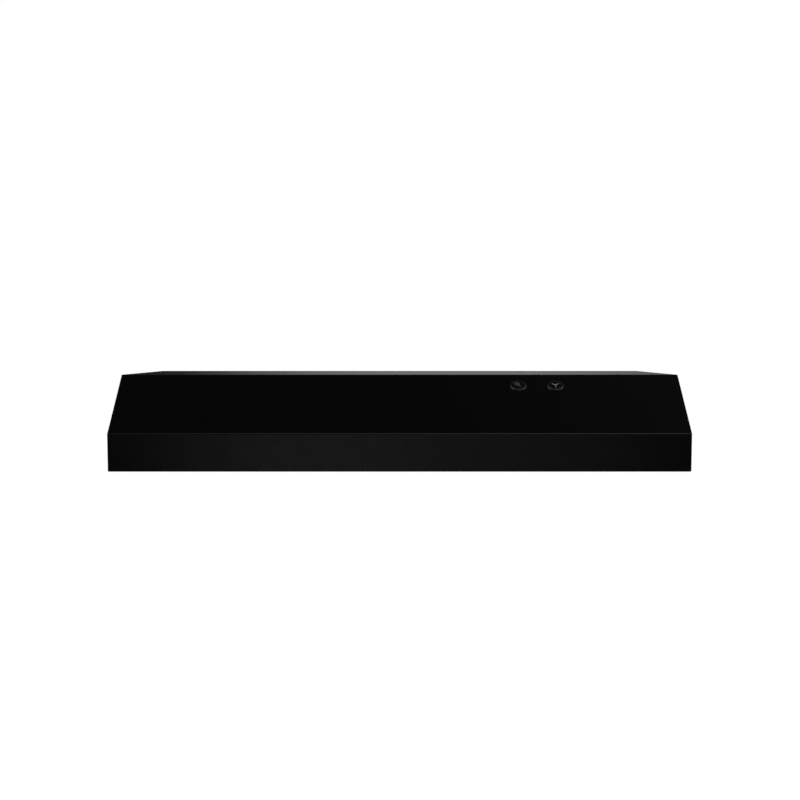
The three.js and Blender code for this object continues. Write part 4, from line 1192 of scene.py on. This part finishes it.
def make_socket():
    """A porcelain-white lamp holder: a closed back, a flange against the reflector and an open mouth."""
    radius, depth, bore, soft = 0.019, 0.036, 0.0136, 0.0006
    collar, flange = LAMP_LEFT - GAP - SOCKET_BACK, radius + 0.004
    profile = [(0, 0), (radius - 0.0045, 0), (radius - 0.0035, 0.0004), (radius - 0.0004, 0.0055)]
    profile += [(radius, 0.0064), (radius, collar - 0.003), (flange - 0.0005, collar - 0.003)]
    profile += [(flange, collar - 0.0025), (flange, collar - 0.0003), (flange - 0.0003, collar)]
    profile += [(radius, collar), (radius, depth - 0.0008), (radius - 0.0008, depth), (bore + soft, depth)]
    profile += [(bore, depth - soft), (bore, SOCKET_FLOOR), (0, SOCKET_FLOOR)]
    mesh = lathe(profile, 72, lying_along_x(SOCKET_BACK, LAMP_Y, BULB_Z))
    remake("lamp_socket", "socket_shell", mesh)


def make_bulb():
    """A screw base with five turns of rounded thread, and a frosted envelope that swells from its neck."""
    threads, steps, crest, wave = 5, 40, 0.0124, 0.0006
    profile = [(0, 0), (0.0035, 0), (0.0048, 0.0006), (0.005, 0.0014), (0.0088, 0.0030), (0.0100, 0.0045)]
    for k in range(steps + 1):
        turned = 2 * math.pi * threads * k / steps
        profile.append((crest + wave * math.cos(turned), 0.0055 + 0.0155 * k / steps))
    profile += [(0.013, 0.0225), (0.013, 0.0248), (0.0127, 0.025), (0, 0.025)]
    mesh = lathe(profile, 64, lying_along_x(SOCKET_BACK + SOCKET_FLOOR + GAP, LAMP_Y, BULB_Z))
    remake("bulb_base", "bulb_screw_base", mesh)

    low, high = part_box("bulb_glass")
    length, widest = high.x - low.x, (high.y - low.y) / 2
    neck, shoulder, rings = 0.0125, 0.55, 48
    profile = [(0, 0)]
    for k in range(rings):
        share = k / rings
        if share < shoulder:
            radius = neck + (widest - neck) * (0.5 - 0.5 * math.cos(math.pi * share / shoulder))
        else:
            radius = widest * math.sqrt(1 - ((share - shoulder) / (1 - shoulder)) ** 2)
        profile.append((radius, length * share))
    profile.append((0, length))
    mesh = lathe(profile, 72, lying_along_x(low.x, LAMP_Y, BULB_Z))
    remake("bulb_glass", "bulb_envelope", mesh)


def make_lens():
    """A shallow moulded tray with cooling slots, fine ribs across it and a hinge barrel behind."""
    width, length = LENS_RIGHT - LENS_LEFT, 2 * (LENS_REAR - LAMP_Y)
    middle_x = (LENS_LEFT + LENS_RIGHT) / 2
    bottom, soft, wall = LENS_TOP - LENS_DEPTH, 0.0022, LENS_WALL
    inner = soft - 0.0006
    section = arc_points((soft, bottom + soft), soft, -90, -180, 5) + [(0, LENS_TOP), (wall, LENS_TOP)]
    section += arc_points((wall + inner, bottom + wall + inner), inner, 180, 270, 5)

    def outline(inward, level):
        size = (width - 2 * inward, length - 2 * inward)
        return [(x, y, level) for x, y in rounded_rectangle(*size, 0.004, middle_x, LAMP_Y, 6)]

    slots = []
    for y in (LAMP_Y - 0.062, LAMP_Y + 0.062):
        for column in range(-2, 3):
            slot = rounded_rectangle(0.018, 0.003, 0.00149, middle_x + column * 0.026, y, 6)
            slots.append(prism(slot, "Z", bottom - 0.001, bottom + 0.004))
    tray = cut(loft(section, outline, closed=False), *slots)
    ribs, count, end_margin = [], 34, 0.008
    foot, crest = bottom + wall - 0.0001, bottom + wall + 0.0008
    for k in range(count):
        x = LENS_LEFT + end_margin + (width - 2 * end_margin) * k / (count - 1)
        profile = [(x - 0.0016, foot), (x + 0.0016, foot), (x + 0.0006, crest), (x - 0.0006, crest)]
        ribs.append(prism(profile, "Y", LAMP_Y - 0.056, LAMP_Y + 0.056))
    hinge_y, hinge_z = 0.068, -0.1005
    barrel = prism(circle(0.002, hinge_y, hinge_z, 32), "X", LAMP_LEFT + 0.006, LAMP_RIGHT - 0.006)
    arms = []
    for x in (0.202, 0.270, 0.338):
        arm = block((x - 0.004, x + 0.004), (LENS_REAR - 0.0005, hinge_y), (hinge_z - 0.001, hinge_z + 0.001))
        arms.append(bevelled(arm, 0.0003))
    mesh = joined(tray, *ribs, bevelled(barrel, 0.0004), *arms)
    remake("lamp_lens", "lens_tray", mesh)


# ---------------------------------------------------------------- the duct connector

DUCT_DEPTH = 0.0395
DUCT_FLANGE = 0.012
DAMPER_Y = 0.23225
DAMPER_Z = -0.0166
COLLAR_BOTTOM = DUCT_Z - DUCT_HEIGHT / 2


def make_duct_connector():
    """A collar with a rounded end and a wide flange, in one pressing with a soft bend between them."""
    flange_y, end_y = BACK + GAP, BACK + DUCT_DEPTH
    face_y = flange_y + SHEET
    soft, hem = 0.0008, 0.0003
    section = [(-DUCT_FLANGE, flange_y), (SHEET, flange_y), (SHEET, end_y - hem), (SHEET - hem, end_y)]
    section += [(hem, end_y), (0, end_y - hem)]
    section += arc_points((-soft, face_y + soft), soft, 0, -90, 4) + [(-DUCT_FLANGE, face_y)]

    def outline(inward, y):
        """The flange stands out less above and below the collar than beside it."""
        tall = 0.75 if inward < -soft else 1
        size = (DUCT_WIDTH - 2 * inward, DUCT_HEIGHT - 2 * inward * tall)
        radius = min(max(0.003 - inward, 0.002), 0.004)
        return [(x, y, z) for x, z in rounded_rectangle(*size, radius, 0, DUCT_Z, 6)]

    pin_hole = prism(circle(0.0018, DAMPER_Y, DAMPER_Z, 24), "X", -0.14, 0.14)
    body = cut(loft(section, outline), pin_hole)
    stop = (DAMPER_Y - 0.003, DAMPER_Y - 0.0008), (COLLAR_BOTTOM + 0.0005, COLLAR_BOTTOM + 0.006)
    stop = bevelled(block((-0.030, 0.030), *stop), 0.0003)
    dome = [(0, 0.0008), (0.0009, 0.0007), (0.0017, 0.0004), (0.0021, 0), (0.0021, -0.0004), (0, -0.0004)]
    rows = (COLLAR_BOTTOM - 0.005, COLLAR_BOTTOM + DUCT_HEIGHT + 0.005)
    places = [(x, face_y, z) for x in (-0.110, -0.055, 0.055, 0.110) for z in rows]
    rivets = studs(dome, places, Matrix.Rotation(-math.pi / 2, 4, "X"))
    remake("duct_connector", "duct_collar", joined(body, stop, *rivets))


def make_damper():
    """A leaf hung from a barrel that turns on a pin across the collar."""
    half = DUCT_WIDTH / 2 - SHEET - 0.002
    foot = COLLAR_BOTTOM + SHEET + 0.0015
    leaf = block((-half, half), (DAMPER_Y - 0.0005, DAMPER_Y + 0.0005), (foot, DAMPER_Z - 0.0022))
    bore = prism(circle(0.0019, DAMPER_Y, DAMPER_Z, 32), "X", -half - 0.001, half + 0.001)
    barrel = cut(prism(circle(0.0029, DAMPER_Y, DAMPER_Z, 48), "X", -half, half), bore)
    flap = joined(bevelled(leaf, 0.0002), barrel)
    remake("damper_flap", "damper_leaf", flap)
    low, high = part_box("damper_rod")
    pin = lathe(bar_profile(0.0015, low.x, high.x), 40, lying_along_x(0, DAMPER_Y, DAMPER_Z))
    remake("damper_rod", "damper_pin", pin)


# ---------------------------------------------------------------- stage, light and view

FLOOR_LEVEL = -2.6
FLOOR_X = (-6, 6)
FLOOR_Y = (-1.4, 9)
LIT_POINT = Vector((0, 0, -0.05))
DIM = 0.022
# Soft patches of light round the hood: direction, half width in degrees, strength.
GLOWS = (
    ((-0.080, -1.0, -0.07), 6.0, 0.28),
    ((0.060, -1.0, -0.07), 8.5, 0.15),
    ((0.20, -0.72, 0.69), 34, 0.52),
    ((0.05, 1.0, 0.03), 12.4, 0.27),
    ((0.55, 0.35, 0.90), 32, 0.03),
    ((0.62, 0.62, 0.42), 26, 0.12),
    ((-0.10, 0.80, 0.58), 20, 0.08),
)


def make_stage():
    """A plain white floor that glows softly, far enough below for the hood to hang free over it."""
    material, s = shaded("pale_floor")
    s.surface(
        Base_Color=s.ramp(s.noise(s.coordinates(), 2), (0.3, grey(0.80)), (0.7, grey(0.82))),
        Roughness=0.9,
        Emission_Color=(1, 1, 1, 1),
        Emission_Strength=0.97,
    )
    floor = bpy.data.objects.new("floor", block(FLOOR_X, FLOOR_Y, (FLOOR_LEVEL - 0.02, FLOOR_LEVEL)))
    bpy.context.scene.collection.objects.link(floor)
    floor.data.materials.append(material)


def make_world():
    """White to look at, and dim soft light to shine on the hood."""
    world = bpy.data.worlds.new("studio")
    bpy.context.scene.world = world
    s = Shader(world)
    where = s.node("ShaderNodeTexCoord").outputs["Generated"]
    total = DIM
    for direction, half_width, strength in GLOWS:
        aim = Vector(direction).normalized()
        near = s.node("ShaderNodeVectorMath", {"operation": "DOT_PRODUCT"}, i0=where, i1=aim).outputs["Value"]
        glow = s.span(near, 0, strength, True, (math.cos(math.radians(half_width)), 1))
        total = s.math("ADD", total, glow)
    light = s.node("ShaderNodeCombineColor", i0=total, i1=total, i2=total).outputs[0]
    dim = s.node("ShaderNodeBackground", i0=light).outputs[0]
    plain = s.node("ShaderNodeBackground", i0=(1, 1, 1, 1)).outputs[0]
    seen = s.node("ShaderNodeLightPath").outputs["Is Camera Ray"]
    mix = s.node("ShaderNodeMixShader", i0=seen, i1=dim, i2=plain)
    s.node("ShaderNodeOutputWorld", i0=mix.outputs[0])


def area_light(name, place, side, power):
    """A square light that faces the hood."""
    data = bpy.data.lights.new(name, "AREA")
    data.shape = "RECTANGLE"
    data.size = data.size_y = side
    data.energy = power
    light = bpy.data.objects.new(name, data)
    light.location = place
    light.rotation_euler = (LIT_POINT - Vector(place)).to_track_quat("-Z", "Y").to_euler()
    bpy.context.scene.collection.objects.link(light)


def make_lights():
    area_light("left_light", (-2.8, -0.9, 1.2), 3.2, 22)
    area_light("right_light", (2.8, -0.5, 1.1), 3.2, 17)
    area_light("rear_light", (-2.7, 2.3, 0.9), 1.4, 20)


make_camera()
make_world()
make_lights()
make_stage()
dress_cad_nodes()
make_shell()
make_side_panel("side_panel_left", -1)
make_side_panel("side_panel_right", 1)
make_back_panel()
make_controls()
make_softened_pieces()
make_leads()
make_fan_housing()
make_screws()
make_shaft()
make_bearings()
make_coil()
make_fan()
make_filter_frame()
make_filter_mesh()
make_reflector()
make_socket()
make_bulb()
make_lens()
make_duct_connector()
make_damper()
bpy.context.scene.view_settings.view_transform = "Standard"
